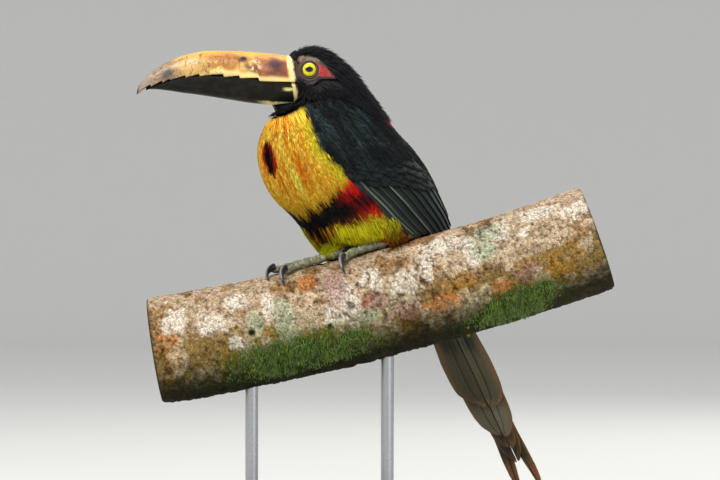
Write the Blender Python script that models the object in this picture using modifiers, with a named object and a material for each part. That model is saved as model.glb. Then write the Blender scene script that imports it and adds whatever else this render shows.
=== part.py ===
"""A collared aracari, a small toucan: a still, life-size model on a cut length of branch, on a display stand.

Run with: blender --background --python part.py

Frame: metres, +Z up, the origin at the centre of the stand's underside. The branch runs along X and climbs
towards +X, and the bill points to -X. The head looks straight along -X. The trunk is turned towards -Y, the
side that the model is seen from, so the tail passes behind the branch.
"""

import math

import bmesh
import bpy
import numpy as np
from mathutils import Vector

MM = 0.001
GAP = 0.4 * MM  # between neighbours

# ---- Stand -----------------------------------------------------------------------------------------------
BASE_SIZE = (240 * MM, 196 * MM, 12 * MM)
BASE_CORNER = 16 * MM
BASE_EDGE = 1.5 * MM
ROD_RADIUS = 4 * MM
FLANGE_RADIUS = 12 * MM
FLANGE_HEIGHT = 3 * MM
ROD_PLACES = {"left": -64 * MM, "right": 20 * MM}  # along X
ROD_SEAT = 14 * MM  # how deep a rod sits in the branch

# ---- Branch: a bowed limb of nearly round section --------------------------------------------------------
PERCH_Y = -12 * MM
PERCH_RADIUS = 33.5 * MM
PERCH_START = -124 * MM
PERCH_END = 150 * MM
PERCH_HEIGHT = 136.7 * MM  # of its axis at X = 0
PERCH_SLOPE = 0.247
PERCH_BOW = 0.35  # rise for each metre squared
PERCH_RINGS = 22
PERCH_SIDES = 22

# ---- Bill ------------------------------------------------------------------------------------------------
HEAD_Y = -12 * MM
BILL_ROOT = -39.5 * MM  # along X
BILL_TIP = -135.3 * MM
BILL_SLANT = 0.155  # how far the root's foot lies behind its top, as a share of its height
# Along the bill from root to tip: share of its length, height of the culmen, of the cutting edge and of the
# mandible's keel, and half the width, in millimetres.
BILL_OUTLINE = (
    (0.00, 294.4, 278.2, 263.8, 13.4),
    (0.14, 296.0, 279.8, 264.0, 13.0),
    (0.28, 297.1, 281.6, 265.4, 12.0),
    (0.42, 297.6, 283.0, 267.6, 10.8),
    (0.56, 297.4, 283.4, 269.8, 9.3),
    (0.70, 294.6, 282.2, 271.6, 7.6),
    (0.82, 289.8, 279.6, 272.9, 5.8),
    (0.92, 282.6, 276.2, 273.4, 3.9),
    (1.00, 271.8, 270.6, 270.0, 0.9),
)
TOOTH_ENDS = (0.215, 0.335, 0.435, 0.59, 0.68, 0.78, 0.83, 0.905)  # shares of the length, at the steep sides
TOOTH_HEIGHT = 2.6 * MM
MANDIBLE_END = 0.94  # the upper tip hooks past it

# ---- Plumage: head, neck and trunk as sections from the bill's root to the root of the tail --------------
# Each row: the middle of the section (x, y, z), half its size from belly to back, how far its back leans from
# straight up, half its width, how far it is turned towards -Y. Millimetres and degrees, one row a station.
SECTIONS = (
    (-36.6, -12.0, 279.2, 15.2, -8.8, 13.8, 0),
    (-33.6, -12.0, 280.6, 18.9, 8.0, 16.8, 1),
    (-29.6, -12.0, 279.5, 21.8, 30.0, 19.0, 4),
    (-25.2, -12.0, 273.6, 25.2, 55.0, 21.6, 9),
    (-21.4, -11.3, 264.9, 31.0, 76.0, 26.0, 17),
    (-18.8, -9.9, 253.8, 38.5, 84.0, 32.0, 28),
    (-17.2, -8.0, 242.2, 45.5, 82.0, 37.5, 36),
    (-10.8, -2.7, 228.6, 51.0, 80.0, 41.0, 38),
    (-2.6, 3.7, 215.1, 52.0, 79.5, 42.0, 38),
    (6.8, 11.0, 202.1, 48.5, 80.0, 41.0, 38),
    (15.2, 17.6, 187.9, 45.5, 80.0, 39.0, 38),
    (23.5, 24.1, 173.0, 40.0, 79.5, 35.0, 38),
    (36.0, 33.8, 158.1, 30.0, 76.0, 27.0, 38),
    (47.6, 42.9, 143.2, 19.5, 70.0, 21.0, 38),
    (56.6, 50.0, 130.0, 9.5, 62.0, 16.5, 38),
)
PLUMAGE_SIDES = 28
HEAD_STATIONS = (0.0, 3.55)
NECK_STATIONS = (3.65, 4.75)
TRUNK_STATIONS = (4.82, 12.1)
RUMP_STATIONS = (12.16, 14.0)

# ---- Wings: patches of the plumage, sunk in a bed in the trunk -------------------------------------------
# Each row: station, angle of the upper edge and of the lower edge round the trunk, from 0 on the back.
WING_EDGES = (
    (5.2, 60, 106),
    (5.7, 46, 117),
    (6.6, 35, 121),
    (8.0, 23, 116),
    (9.4, 14, 111),
    (10.4, 11, 101),
    (11.2, 13, 85),
    (11.8, 20, 54),
)
WING_EDGE_THICK = 0.8 * MM
WING_THICK = 4.5 * MM
WING_ROWS = 12
WING_COLUMNS = 8
BELLY_COLUMNS = 8  # of points between the wings, below
BACK_COLUMNS = 3  # and above

# ---- Eyes ------------------------------------------------------------------------------------------------
EYE_X, EYE_Z = -28.1 * MM, 285.4 * MM
EYE_RADIUS = 5.6 * MM
EYE_DEPTH = 13.6 * MM  # from the head's mid plane to the middle of the eyeball

# ---- Tail: ten graduated feathers, the middle pair uppermost ---------------------------------------------
BODY_YAW = math.radians(38)
TAIL_LEAN = math.radians(31)  # of the tail from straight down, in the trunk's mid plane
TAIL_ROLL = math.radians(14)  # about its own length, its left edge up
TAIL_ROOT = Vector((58.8, 48.3, 129.6)) * MM
# Each row, from the outer pair to the middle pair: length from the root, half width, in millimetres.
TAIL_FEATHERS = ((61, 12.8), (86, 10.9), (97, 6.6), (108, 6.3), (129, 6.3))
TAIL_ARCH = 4.0  # sag below the middle, in metres for each metre squared of spread
FEATHER_THICK = 0.65 * MM
FEATHER_LAYER = 1.05 * MM

# ---- Legs and feet ---------------------------------------------------------------------------------------
# Where each foot stands: along X in millimetres, and round the branch from its top towards -Y in degrees.
FEET = {"left": (31.5, 3.0), "right": (-9.0, 3.0)}
TOE_RADIUS = 2.6 * MM
TARSUS_RADIUS = 2.9 * MM
CLAW_LENGTH = 13.5
CLAW_GAP = 0.9  # between a toe's end and its claw, in millimetres
# Each toe: its length, where its root lies from the foot's middle along +X and towards -Y, and its heading on
# the bark at its root, at its end and at the claw's point. Millimetres, and degrees from -X turning towards -Y.
TOES = {
    "left": {
        "front_outer": (30.0, -3.4, 2.9, 0, 58, 112),
        "front_inner": (23.5, -3.4, -2.9, -4, 32, 85),
        "back_outer": (14.0, 5.2, 1.2, 208, 220, 230),
        "back_inner": (8.0, 2.4, -6.2, 220, 222, 226),
    },
    "right": {
        "front_inner": (25.0, -3.4, 2.9, 2, 50, 112),
        "front_outer": (31.0, -3.4, -2.9, -2, 34, 105),
        "back_inner": (10.0, 5.2, 1.2, 215, 238, 255),
        "back_outer": (15.0, 0.6, -6.2, 235, 245, 258),
    },
}
FOOT_CLEARANCE = 7.2 * MM  # that the belly keeps over the bark where the feet stand
FOOT_ZONE = (math.radians(-84), math.radians(-64))  # round the branch: where that begins and is whole
LEG_RISE = 19 * MM  # from the foot's middle up into the belly
LEG_LEAN = {"left": (0.1, 0.6), "right": (0.95, 0.8)}  # how far it leans along X and Y for its rise
THIGH_RADIUS = 6.5 * MM


# ---- Tools -----------------------------------------------------------------------------------------------

def make_material(name, colour, roughness, metallic=0.0):
    material = bpy.data.materials.new(name)
    material.use_nodes = True
    shader = material.node_tree.nodes["Principled BSDF"]
    shader.inputs["Base Color"].default_value = (*colour, 1.0)
    shader.inputs["Roughness"].default_value = roughness
    shader.inputs["Metallic"].default_value = metallic
    return material


def add_mesh(name, vertices, faces, material):
    """A new object, its faces turned outwards, in the model's collection."""
    mesh = bpy.data.meshes.new(name)
    mesh.from_pydata([tuple(map(float, point)) for point in vertices], [], faces)
    work = bmesh.new()
    work.from_mesh(mesh)
    bmesh.ops.recalc_face_normals(work, faces=work.faces)
    work.to_mesh(mesh)
    work.free()
    mesh.shade_smooth()
    mesh.materials.append(material)
    part = bpy.data.objects.new(name, mesh)
    bpy.data.collections["collared_aracari"].objects.link(part)
    return part


def add_tube(name, rings, material):
    """A closed solid through rings of points, an array of (ring, point, 3), with flat ends."""
    count, sides = rings.shape[:2]
    faces = []
    for ring in range(count - 1):
        for side in range(sides):
            a = ring * sides + side
            b = ring * sides + (side + 1) % sides
            faces.append((a, b, b + sides, a + sides))
    faces.append(tuple(range(sides)))
    faces.append(tuple(range((count - 1) * sides, count * sides)))
    return add_mesh(name, rings.reshape(-1, 3), faces, material)


def add_plate(name, upper, lower, material):
    """A closed solid between two grids of points that lie face to face."""
    rows, columns = upper.shape[:2]
    rim = [(row, 0) for row in range(rows)]
    rim += [(rows - 1, column) for column in range(1, columns)]
    rim += [(row, columns - 1) for row in range(rows - 2, -1, -1)]
    rim += [(0, column) for column in range(columns - 2, 0, -1)]
    size = rows * columns
    faces = []
    for row in range(rows - 1):
        for column in range(columns - 1):
            a = row * columns + column
            faces.append((a, a + 1, a + columns + 1, a + columns))
            faces.append((size + a, size + a + columns, size + a + columns + 1, size + a + 1))
    for this, following in zip(rim, rim[1:] + rim[:1]):
        a = this[0] * columns + this[1]
        b = following[0] * columns + following[1]
        faces.append((a, b, size + b, size + a))
    points = np.concatenate([upper.reshape(-1, 3), lower.reshape(-1, 3)])
    return add_mesh(name, points, faces, material)


def smooth_rows(rows, place):
    """A table's rows at fractional places, on a Catmull-Rom curve with one row to a unit."""
    rows = np.asarray(rows, float)
    last = len(rows) - 1
    place = np.clip(np.asarray(place, float), 0, last)
    low = np.minimum(place.astype(int), last - 1)
    f = (place - low)[..., None]
    before, start = rows[np.maximum(low - 1, 0)], rows[low]
    end, after = rows[low + 1], rows[np.minimum(low + 2, last)]
    slope_start = np.where(low[..., None] == 0, end - start, (end - before) / 2)
    slope_end = np.where(low[..., None] == last - 1, end - start, (after - start) / 2)
    return (
        (2 * f**3 - 3 * f**2 + 1) * start
        + (f**3 - 2 * f**2 + f) * slope_start
        + (3 * f**2 - 2 * f**3) * end
        + (f**3 - f**2) * slope_end
    )


def smooth_keys(rows, key):
    """The rest of a table's rows, read smoothly at a value of their first column."""
    keys = np.array([row[0] for row in rows])
    place = np.interp(key, keys, np.arange(len(rows)))
    return smooth_rows([row[1:] for row in rows], place)


def unit(vectors):
    return vectors / np.linalg.norm(vectors, axis=-1, keepdims=True)


# ---- The branch's shape ----------------------------------------------------------------------------------

def perch_axis(x):
    """Points on the branch's axis at x, and the unit vector across it that points up, both as arrays."""
    x = np.asarray(x, float)
    height = PERCH_HEIGHT + PERCH_SLOPE * x + PERCH_BOW * x**2
    slope = PERCH_SLOPE + 2 * PERCH_BOW * x
    middle = np.stack([x, np.full_like(x, PERCH_Y), height], -1)
    up = unit(np.stack([-slope, np.zeros_like(x), np.ones_like(x)], -1))
    return middle, up


def on_perch(x, angle, height=0.0):
    """Points at a height over the bark, at an angle in radians from its top towards -Y."""
    middle, up = perch_axis(x)
    x, angle, height = np.broadcast_arrays(x, angle, height)
    radius = (PERCH_RADIUS + height)[..., None]
    toward = np.array([0.0, -1.0, 0.0])
    return middle + radius * (np.cos(angle)[..., None] * up + np.sin(angle)[..., None] * toward)


def clear_of_perch(points, clearance):
    """The points, with any that are too near to the branch moved out to a clearance over its bark.

    On top, where the feet stand, the clearance is FOOT_CLEARANCE more.
    """
    x = points[..., 0]
    for _ in range(4):  # slides x along the axis to the foot of each point
        middle, up = perch_axis(x)
        along = np.stack([up[..., 2], np.zeros_like(x), -up[..., 0]], -1)
        x = x + ((points - middle) * along).sum(-1) * along[..., 0]
    middle, up = perch_axis(x)
    away = points - middle
    distance = np.linalg.norm(away, axis=-1, keepdims=True)
    height = (away * up).sum(-1) / distance[..., 0]
    round_top = np.arctan2(PERCH_Y - points[..., 1], np.maximum(height, 0.01) * distance[..., 0])
    on_top = np.clip((round_top - FOOT_ZONE[0]) / (FOOT_ZONE[1] - FOOT_ZONE[0]), 0, 1)
    wanted = PERCH_RADIUS + clearance + FOOT_CLEARANCE * on_top
    return middle + away / distance * np.maximum(distance, wanted[..., None])


# ---- The plumage's shape ---------------------------------------------------------------------------------

def plumage(station, angle):
    """Points on the outside of the feathers, at an angle in radians: 0 on the back, then round the left."""
    x, y, z, depth, lean, width, yaw = np.moveaxis(smooth_rows(SECTIONS, station), -1, 0)
    lean, yaw = np.radians(lean), np.radians(yaw)
    left = np.stack([np.sin(yaw), -np.cos(yaw), np.zeros_like(yaw)], -1)
    back = np.stack([np.cos(yaw) * np.sin(lean), np.sin(yaw) * np.sin(lean), np.cos(lean)], -1)
    middle = np.stack([x, y, z], -1)
    sideways = (width * np.sin(angle))[..., None] * left
    upwards = (depth * np.cos(angle))[..., None] * back
    return (middle + sideways + upwards) * MM


def plumage_normals(station, angle):
    """Unit vectors out of the feathers' surface."""
    step = 0.01
    before = np.maximum(np.asarray(station) - step, 0)
    after = np.minimum(np.asarray(station) + step, len(SECTIONS) - 1)
    along = plumage(after, angle) - plumage(before, angle)
    around = plumage(station, angle + step) - plumage(station, angle - step)
    return unit(np.cross(around, along))


def wing_edges(station):
    """Angles of the wing's upper and lower edges at a station, in radians."""
    keys = [row[0] for row in WING_EDGES]
    edges = smooth_keys(WING_EDGES, np.clip(station, keys[0], keys[-1]))
    return np.radians(edges[..., 0]), np.radians(edges[..., 1])


def wing_depth(along, across):
    """How thick the wing is at shares of its length and of its breadth, both from 0 to 1."""
    swell = np.sin(np.pi * np.clip(along, 0, 1)) * np.sin(np.pi * np.clip(across, 0, 1))
    return WING_EDGE_THICK + (WING_THICK - WING_EDGE_THICK) * np.sqrt(np.clip(swell, 0, None))


def section_angles(station):
    """The angles of a section's points, so that two of its columns run along each edge of each wing."""
    upper, lower = wing_edges(station)
    share = np.linspace(0, 1, WING_COLUMNS)
    left = upper[:, None] + (lower - upper)[:, None] * share
    belly_steps = np.linspace(0, 1, BELLY_COLUMNS + 2)[1:-1]
    back_steps = np.linspace(0, 1, BACK_COLUMNS + 2)[1:-1]
    belly = lower[:, None] + (2 * np.pi - 2 * lower)[:, None] * belly_steps
    right = (2 * np.pi - left)[:, ::-1]
    back = (2 * np.pi - upper)[:, None] + (2 * upper)[:, None] * back_steps
    return np.concatenate([left, belly, right, back], 1)


def trunk_rings(stations):
    """Rings of the trunk, which lies under each wing by the wing's thickness and a gap."""
    angles = section_angles(stations)
    grid = np.broadcast_to(stations[:, None], angles.shape)
    points = plumage(grid, angles)
    normals = plumage_normals(grid, angles)
    start, end = WING_EDGES[0][0], WING_EDGES[-1][0]
    along = (stations - start) / (end - start)
    under = (along > -0.001) & (along < 1.001)
    share = np.linspace(0, 1, WING_COLUMNS)
    depth = np.where(under[:, None], wing_depth(along[:, None], share) + GAP, 0)
    sunk = np.zeros(angles.shape)
    right_start = WING_COLUMNS + BELLY_COLUMNS
    sunk[:, :WING_COLUMNS] = depth
    sunk[:, right_start : right_start + WING_COLUMNS] = depth[:, ::-1]
    return points - normals * sunk[..., None]


# ---- Making the parts ------------------------------------------------------------------------------------

def make_body(black, yellow):
    """Head, neck, trunk and rump: one plumage, cut across by thin gaps."""
    angles = np.linspace(0, 2 * np.pi, PLUMAGE_SIDES, endpoint=False)
    for name, (start, end), rings, material in (
        ("head", HEAD_STATIONS, 10, black),
        ("neck", NECK_STATIONS, 4, black),
        ("rump", RUMP_STATIONS, 7, black),
    ):
        stations = np.linspace(start, end, rings)
        grid, turn = np.meshgrid(stations, angles, indexing="ij")
        add_tube(name, clear_of_perch(plumage(grid, turn), 2 * GAP), material)
    first, last = WING_EDGES[0][0], WING_EDGES[-1][0]
    stations = np.concatenate([
        [TRUNK_STATIONS[0]],
        [first - 0.12],
        np.linspace(first, last, WING_ROWS),
        [last + 0.12],
        [TRUNK_STATIONS[1]],
    ])
    add_tube("trunk", clear_of_perch(trunk_rings(stations), 2 * GAP), yellow)


def make_wing(side, black):
    """A folded wing: thin at its edges and thickest in the middle."""
    stations = np.linspace(WING_EDGES[0][0], WING_EDGES[-1][0], WING_ROWS)
    upper, lower = wing_edges(stations)
    share = np.linspace(0, 1, WING_COLUMNS)
    angles = upper[:, None] + (lower - upper)[:, None] * share
    if side == "right":
        angles = -angles
    grid = np.broadcast_to(stations[:, None], angles.shape)
    outer = plumage(grid, angles)
    along = (stations - stations[0]) / (stations[-1] - stations[0])
    depth = wing_depth(along[:, None], share)
    inner = outer - plumage_normals(grid, angles) * depth[..., None]
    add_plate(
        "wing_" + side, clear_of_perch(outer, 4 * GAP), clear_of_perch(inner, 3 * GAP), black
    )


def bill_ring(share):
    """The bill's outline at shares of its length: x, culmen, cutting edge, keel and half width."""
    keys = smooth_keys(BILL_OUTLINE, share) * MM
    x = BILL_ROOT + (BILL_TIP - BILL_ROOT) * np.asarray(share)
    return x, keys[..., 0], keys[..., 1], keys[..., 2], keys[..., 3]


def bill_rings(x, across, height, share):
    """Rings across the bill from its sideways places and heights, with the root's slant fading along it."""
    across, height = np.stack(across, 1), np.stack(height, 1)
    top = BILL_OUTLINE[0][1] * MM
    behind = BILL_SLANT * (top - height) * ((1 - share) ** 3)[:, None]
    return np.stack([x[:, None] + behind, HEAD_Y - across, height], -1)


def tooth_drop(share):
    """How far the saw-toothed edge hangs below the cutting line at shares of the bill's length."""
    ends = (0.0,) + TOOTH_ENDS
    drop = np.zeros_like(share)
    for start, end in zip(ends, TOOTH_ENDS):
        size = TOOTH_HEIGHT * (1.0 - 0.55 * end)
        ramp = (share - start) / (end - start)
        drop = np.where((ramp > 0) & (ramp <= 1), size * ramp, drop)
    return drop


def make_bill_upper(material):
    """The upper bill: an arch over a shallow hollow, with teeth along both edges."""
    step = 0.004
    shares = [0.0]
    for end in TOOTH_ENDS:
        shares += [(shares[-1] + end) / 2, end, end + step]
    shares += [0.94, 0.97, 0.99, 1.0]
    shares = np.array(shares)
    x, culmen, edge, _, width = bill_ring(shares)
    rim = edge - tooth_drop(shares)
    roof = edge + 0.6 * MM
    turn = np.linspace(0, np.pi, 13)
    side = np.sign(np.cos(turn)) * np.abs(np.cos(turn)) ** 0.8
    rise = np.sin(turn) ** 0.9
    across = [width * s for s in side]
    height = [rim + (culmen - rim) * r for r in rise]
    across += [-0.80 * width, -0.74 * width, 0.74 * width, 0.80 * width]
    height += [rim, roof, roof, rim]
    add_tube("bill_upper", bill_rings(x, across, height, shares), material)


def make_bill_lower(material):
    """The lower bill: a keel below, and a narrow ledge above that closes into the upper bill's hollow."""
    shares = np.linspace(0, MANDIBLE_END, 18)
    x, _, edge, keel, width = bill_ring(shares)
    top = edge + 0.6 * MM - GAP
    shoulder = edge - TOOTH_HEIGHT * (1.0 - 0.55 * shares) - GAP
    shoulder = np.maximum(shoulder, keel + 0.8 * MM)
    top = np.maximum(top, shoulder + 0.3 * MM)
    point = np.sqrt(np.clip(1.03 - (shares / MANDIBLE_END) ** 12, 0, 1))  # closes its tip
    keel = shoulder - (shoulder - keel) * point
    width = width * point
    ledge = 0.70 * width
    turn = np.linspace(np.pi, 2 * np.pi, 11)
    side = np.sign(np.cos(turn)) * np.abs(np.cos(turn)) ** 0.8
    across = [0.97 * width * s for s in side]
    height = [shoulder + (shoulder - keel) * np.sin(t) for t in turn]
    across += [ledge, ledge, -ledge, -ledge]
    height += [shoulder, top, top, shoulder]
    add_tube("bill_lower", bill_rings(x, across, height, shares), material)


def add_ball(name, centre, radius, material, collection="collared_aracari"):
    mesh = bpy.data.meshes.new(name)
    work = bmesh.new()
    bmesh.ops.create_uvsphere(work, u_segments=14, v_segments=8, radius=radius)
    work.to_mesh(mesh)
    work.free()
    mesh.shade_smooth()
    if material:
        mesh.materials.append(material)
    ball = bpy.data.objects.new(name, mesh)
    ball.location = centre
    ball.rotation_euler = (math.radians(90), 0, 0)
    bpy.data.collections[collection].objects.link(ball)
    return ball


def cut_from(part, cutter):
    cutter.hide_render = True
    cutter.display_type = "WIRE"
    cut = part.modifiers.new("cut_" + cutter.name, "BOOLEAN")
    cut.operation = "DIFFERENCE"
    cut.object = cutter


def make_eyes(material):
    """Two eyeballs, each in a socket in the head."""
    head = bpy.data.objects["head"]
    for side, sign in (("left", -1), ("right", 1)):
        centre = (EYE_X, HEAD_Y + sign * EYE_DEPTH, EYE_Z)
        add_ball("eye_" + side, centre, EYE_RADIUS, material)
        cut_from(head, add_ball("socket_" + side, centre, EYE_RADIUS + GAP, None, "cutters"))


def make_tail(material):
    """Ten feathers in five layers, the shortest lowermost, each pair parted down the middle of the tail."""
    forward = Vector((-math.cos(BODY_YAW), -math.sin(BODY_YAW), 0))
    left = np.array((math.sin(BODY_YAW), -math.cos(BODY_YAW), 0))
    down = np.array(-forward * math.sin(TAIL_LEAN) + Vector((0, 0, -math.cos(TAIL_LEAN))))
    under = np.cross(down, left)
    left = left * math.cos(TAIL_ROLL) - under * math.sin(TAIL_ROLL)
    under = np.cross(down, left)
    share = 1 - (1 - np.linspace(0, 1, 8)) ** 1.6  # closer together at the rounded end
    across = np.linspace(0, 1, 4)
    for layer, (length, half_width) in enumerate(TAIL_FEATHERS):
        depth = -layer * FEATHER_LAYER
        outline = half_width * MM * np.clip(0.84 + 0.35 * share, 0, 1) * np.sqrt(np.clip(1 - share**9, 0, 1))
        outline = np.maximum(outline, 0.8 * MM)
        for side, sign in (("left", 1), ("right", -1)):
            inner = 0.25 * MM
            outer = inner + outline * (1.55 - 0.02 * layer)
            spread = inner + (outer - inner)[:, None] * across
            if layer == len(TAIL_FEATHERS) - 1:
                spread = spread + (9 * MM * np.clip(share - 0.62, 0, 1) ** 1.5 * 4)[:, None]
            arch = TAIL_ARCH * spread**2
            centre = np.array(TAIL_ROOT)[None, None, :] + (length * MM * share)[:, None, None] * down
            upper = centre + sign * spread[..., None] * left + (depth + arch)[..., None] * under
            lower = upper + FEATHER_THICK * under
            name = "tail_feather_%s_%d" % (side, len(TAIL_FEATHERS) - layer)
            add_plate(name, upper, lower, material)


def tube_rings(path, radii, sides, up):
    """Round rings along a path of points, each across its run."""
    tangent = unit(np.gradient(path, axis=0))
    side = unit(np.cross(tangent, up))
    normal = np.cross(side, tangent)
    turn = np.linspace(0, 2 * np.pi, sides, endpoint=False)
    ring = np.cos(turn)[None, :, None] * side[:, None] + np.sin(turn)[None, :, None] * normal[:, None]
    return path[:, None] + ring * radii[:, None, None]


def toe_course(foot, toe, places):
    """Where a toe and its claw run on the bark, at distances from the toe's root: x and angle, as arrays."""
    length, along, across, root_heading, end_heading, tip_heading = TOES[foot][toe]
    run = np.linspace(0, length + CLAW_LENGTH, 200)
    share = np.clip(run / length, 0, 1)
    past = np.clip((run - length) / CLAW_LENGTH, 0, 1)
    heading = root_heading + (end_heading - root_heading) * share**2 + (tip_heading - end_heading) * past
    heading = np.radians(heading)
    step = run[1]
    x = FEET[foot][0] + along - np.cumsum(np.cos(heading)) * step
    sideways = across + np.cumsum(np.sin(heading)) * step
    angle = math.radians(FEET[foot][1]) + sideways * MM / PERCH_RADIUS
    return np.interp(places, run, x) * MM, np.interp(places, run, angle)


def make_foot(foot, skin, horn):
    """Two toes forward and two back, jointed and tapering, each with a hooked claw."""
    for toe in TOES[foot]:
        length = TOES[foot][toe][0]
        share = np.linspace(0, 1, 7)
        x, angle = toe_course(foot, toe, share * length)
        radii = TOE_RADIUS * (1.0 - 0.2 * share)
        path = on_perch(x, angle, radii + GAP)
        away = unit(path - perch_axis(x)[0])
        add_tube("toe_%s_%s" % (foot, toe), tube_rings(path, radii, 8, away), skin)
        share = np.linspace(0, 1, 6)
        x, angle = toe_course(foot, toe, length + CLAW_GAP + share * (CLAW_LENGTH - CLAW_GAP))
        radii = 1.9 * MM * (1 - share) ** 0.8 + 0.3 * MM
        height = TOE_RADIUS * 0.8 * (1 - share**2) + radii + GAP
        path = on_perch(x, angle, height)
        away = unit(path - perch_axis(x)[0])
        add_tube("claw_%s_%s" % (foot, toe), tube_rings(path, radii, 6, away), horn)


def leg_rings(foot, extra):
    """Rings of a leg, from the foot's middle up and back into the belly, widening into the thigh."""
    share = np.linspace(0, 1, 7)
    x, angle = FEET[foot][0] * MM, math.radians(FEET[foot][1])
    foot_point = on_perch(np.array(x), np.array(angle), np.array(3.4 * GAP))
    lean = np.array((*LEG_LEAN[foot], 0.0))
    path = foot_point + LEG_RISE * (share[:, None] * np.array((0, 0, 1.0)) + share[:, None] ** 2.6 * lean)
    radii = TARSUS_RADIUS + (THIGH_RADIUS - TARSUS_RADIUS) * np.clip((share - 0.33) / 0.42, 0, 1) ** 1.5
    radii = radii * np.sqrt(np.clip(1 - ((share - 0.75) / 0.25).clip(0) ** 2 * 0.8, 0, 1)) + extra
    path[0, 2] -= extra
    path[-1, 2] += extra
    return tube_rings(path, radii, 10, np.array((0.0, 1.0, 0.0)))


def make_leg(foot, skin):
    """A tarsus and thigh, in a hollow of the belly's feathers."""
    add_tube("leg_" + foot, leg_rings(foot, 0), skin)
    cutter = add_tube("hollow_" + foot, leg_rings(foot, GAP), skin)
    bpy.data.collections["collared_aracari"].objects.unlink(cutter)
    bpy.data.collections["cutters"].objects.link(cutter)
    cut_from(bpy.data.objects["trunk"], cutter)


def make_perch(bark):
    """A curved length of branch, its bark slightly lumpy and its ends sawn straight across."""
    x = np.linspace(PERCH_START, PERCH_END, PERCH_RINGS)
    angle = np.linspace(0, 2 * np.pi, PERCH_SIDES, endpoint=False)
    grid, turn = np.meshgrid(x, angle, indexing="ij")
    lumps = 0.5 + 0.25 * np.sin(grid / (17 * MM) + 2 * turn) + 0.25 * np.sin(grid / (41 * MM) - 3 * turn + 1)
    return add_tube("perch", on_perch(grid, turn, -1.8 * MM * lumps), bark)


def add_rod(name, x, top, radius, material, collection, foot):
    """A turned rod: its profile runs from the axis at the top, down the outside and back to the axis."""
    profile = [(0, top), (radius, top)]
    if foot:
        floor = BASE_SIZE[2] + GAP
        profile += [
            (radius, floor + FLANGE_HEIGHT),
            (FLANGE_RADIUS - 1 * MM, floor + FLANGE_HEIGHT),
            (FLANGE_RADIUS, floor + FLANGE_HEIGHT - 1 * MM),
            (FLANGE_RADIUS, floor),
            (0, floor),
        ]
    else:
        profile += [(radius, BASE_SIZE[2] + 30 * MM), (0, BASE_SIZE[2] + 30 * MM)]
    mesh = bpy.data.meshes.new(name)
    mesh.from_pydata([(r, 0, z) for r, z in profile], [(i, i + 1) for i in range(len(profile) - 1)], [])
    if material:
        mesh.materials.append(material)
    rod = bpy.data.objects.new(name, mesh)
    rod.location = (x, PERCH_Y, 0)
    bpy.data.collections[collection].objects.link(rod)
    turn = rod.modifiers.new("turn", "SCREW")
    turn.steps = 16
    turn.render_steps = 16
    turn.use_merge_vertices = True
    turn.merge_threshold = 0.00005
    return rod


def make_stand(painted, steel):
    """A flat base with rounded corners, and two rods that go up into the branch."""
    bpy.ops.mesh.primitive_cube_add(size=1, location=(0, 0, BASE_SIZE[2] / 2))
    base = bpy.context.object
    base.name = "stand_base"
    work = bmesh.new()
    work.from_mesh(base.data)
    bmesh.ops.scale(work, vec=BASE_SIZE, verts=work.verts)
    upright = [edge for edge in work.edges if abs(edge.verts[0].co.z - edge.verts[1].co.z) > BASE_SIZE[2] / 2]
    bmesh.ops.bevel(work, geom=upright, offset=BASE_CORNER, segments=6, profile=0.5, affect="EDGES")
    work.to_mesh(base.data)
    work.free()
    rim = base.modifiers.new("rim", "BEVEL")
    rim.width = BASE_EDGE
    rim.segments = 2
    rim.limit_method = "ANGLE"
    rim.angle_limit = math.radians(60)
    base.data.materials.append(painted)
    for collection in base.users_collection:
        collection.objects.unlink(base)
    bpy.data.collections["collared_aracari"].objects.link(base)
    perch = bpy.data.objects["perch"]
    for side, x in ROD_PLACES.items():
        under_side = float(on_perch(x, math.pi)[2])
        top = under_side + ROD_SEAT
        add_rod("stand_rod_" + side, x, top, ROD_RADIUS, steel, "collared_aracari", True)
        cut_from(perch, add_rod("bore_" + side, x, top + GAP, ROD_RADIUS + GAP, None, "cutters", False))


def main():
    for old in list(bpy.data.objects):
        bpy.data.objects.remove(old, do_unlink=True)
    for name in ("collared_aracari", "cutters"):
        bpy.context.scene.collection.children.link(bpy.data.collections.new(name))
    black = make_material("black_plumage", (0.012, 0.016, 0.02), 0.55)
    yellow = make_material("yellow_plumage", (0.85, 0.55, 0.04), 0.7)
    horn_gold = make_material("golden_bill", (0.86, 0.6, 0.2), 0.35)
    horn_black = make_material("black_bill", (0.02, 0.02, 0.018), 0.35)
    eye = make_material("eye", (0.9, 0.85, 0.02), 0.1)
    tail = make_material("tail_plumage", (0.09, 0.09, 0.05), 0.6)
    scale = make_material("toe_skin", (0.3, 0.34, 0.22), 0.5)
    claw = make_material("claw_horn", (0.06, 0.06, 0.07), 0.3)
    bark = make_material("bark", (0.35, 0.25, 0.16), 0.9)
    painted = make_material("painted_base", (0.05, 0.05, 0.055), 0.4)
    steel = make_material("steel_rod", (0.6, 0.6, 0.62), 0.3, 1.0)
    make_body(black, yellow)
    make_bill_upper(horn_gold)
    make_bill_lower(horn_black)
    make_eyes(eye)
    make_tail(tail)
    make_perch(bark)
    make_stand(painted, steel)
    for side in ("left", "right"):
        make_wing(side, black)
        make_foot(side, scale, claw)
        make_leg(side, scale)


main()
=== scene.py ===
import math

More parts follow.
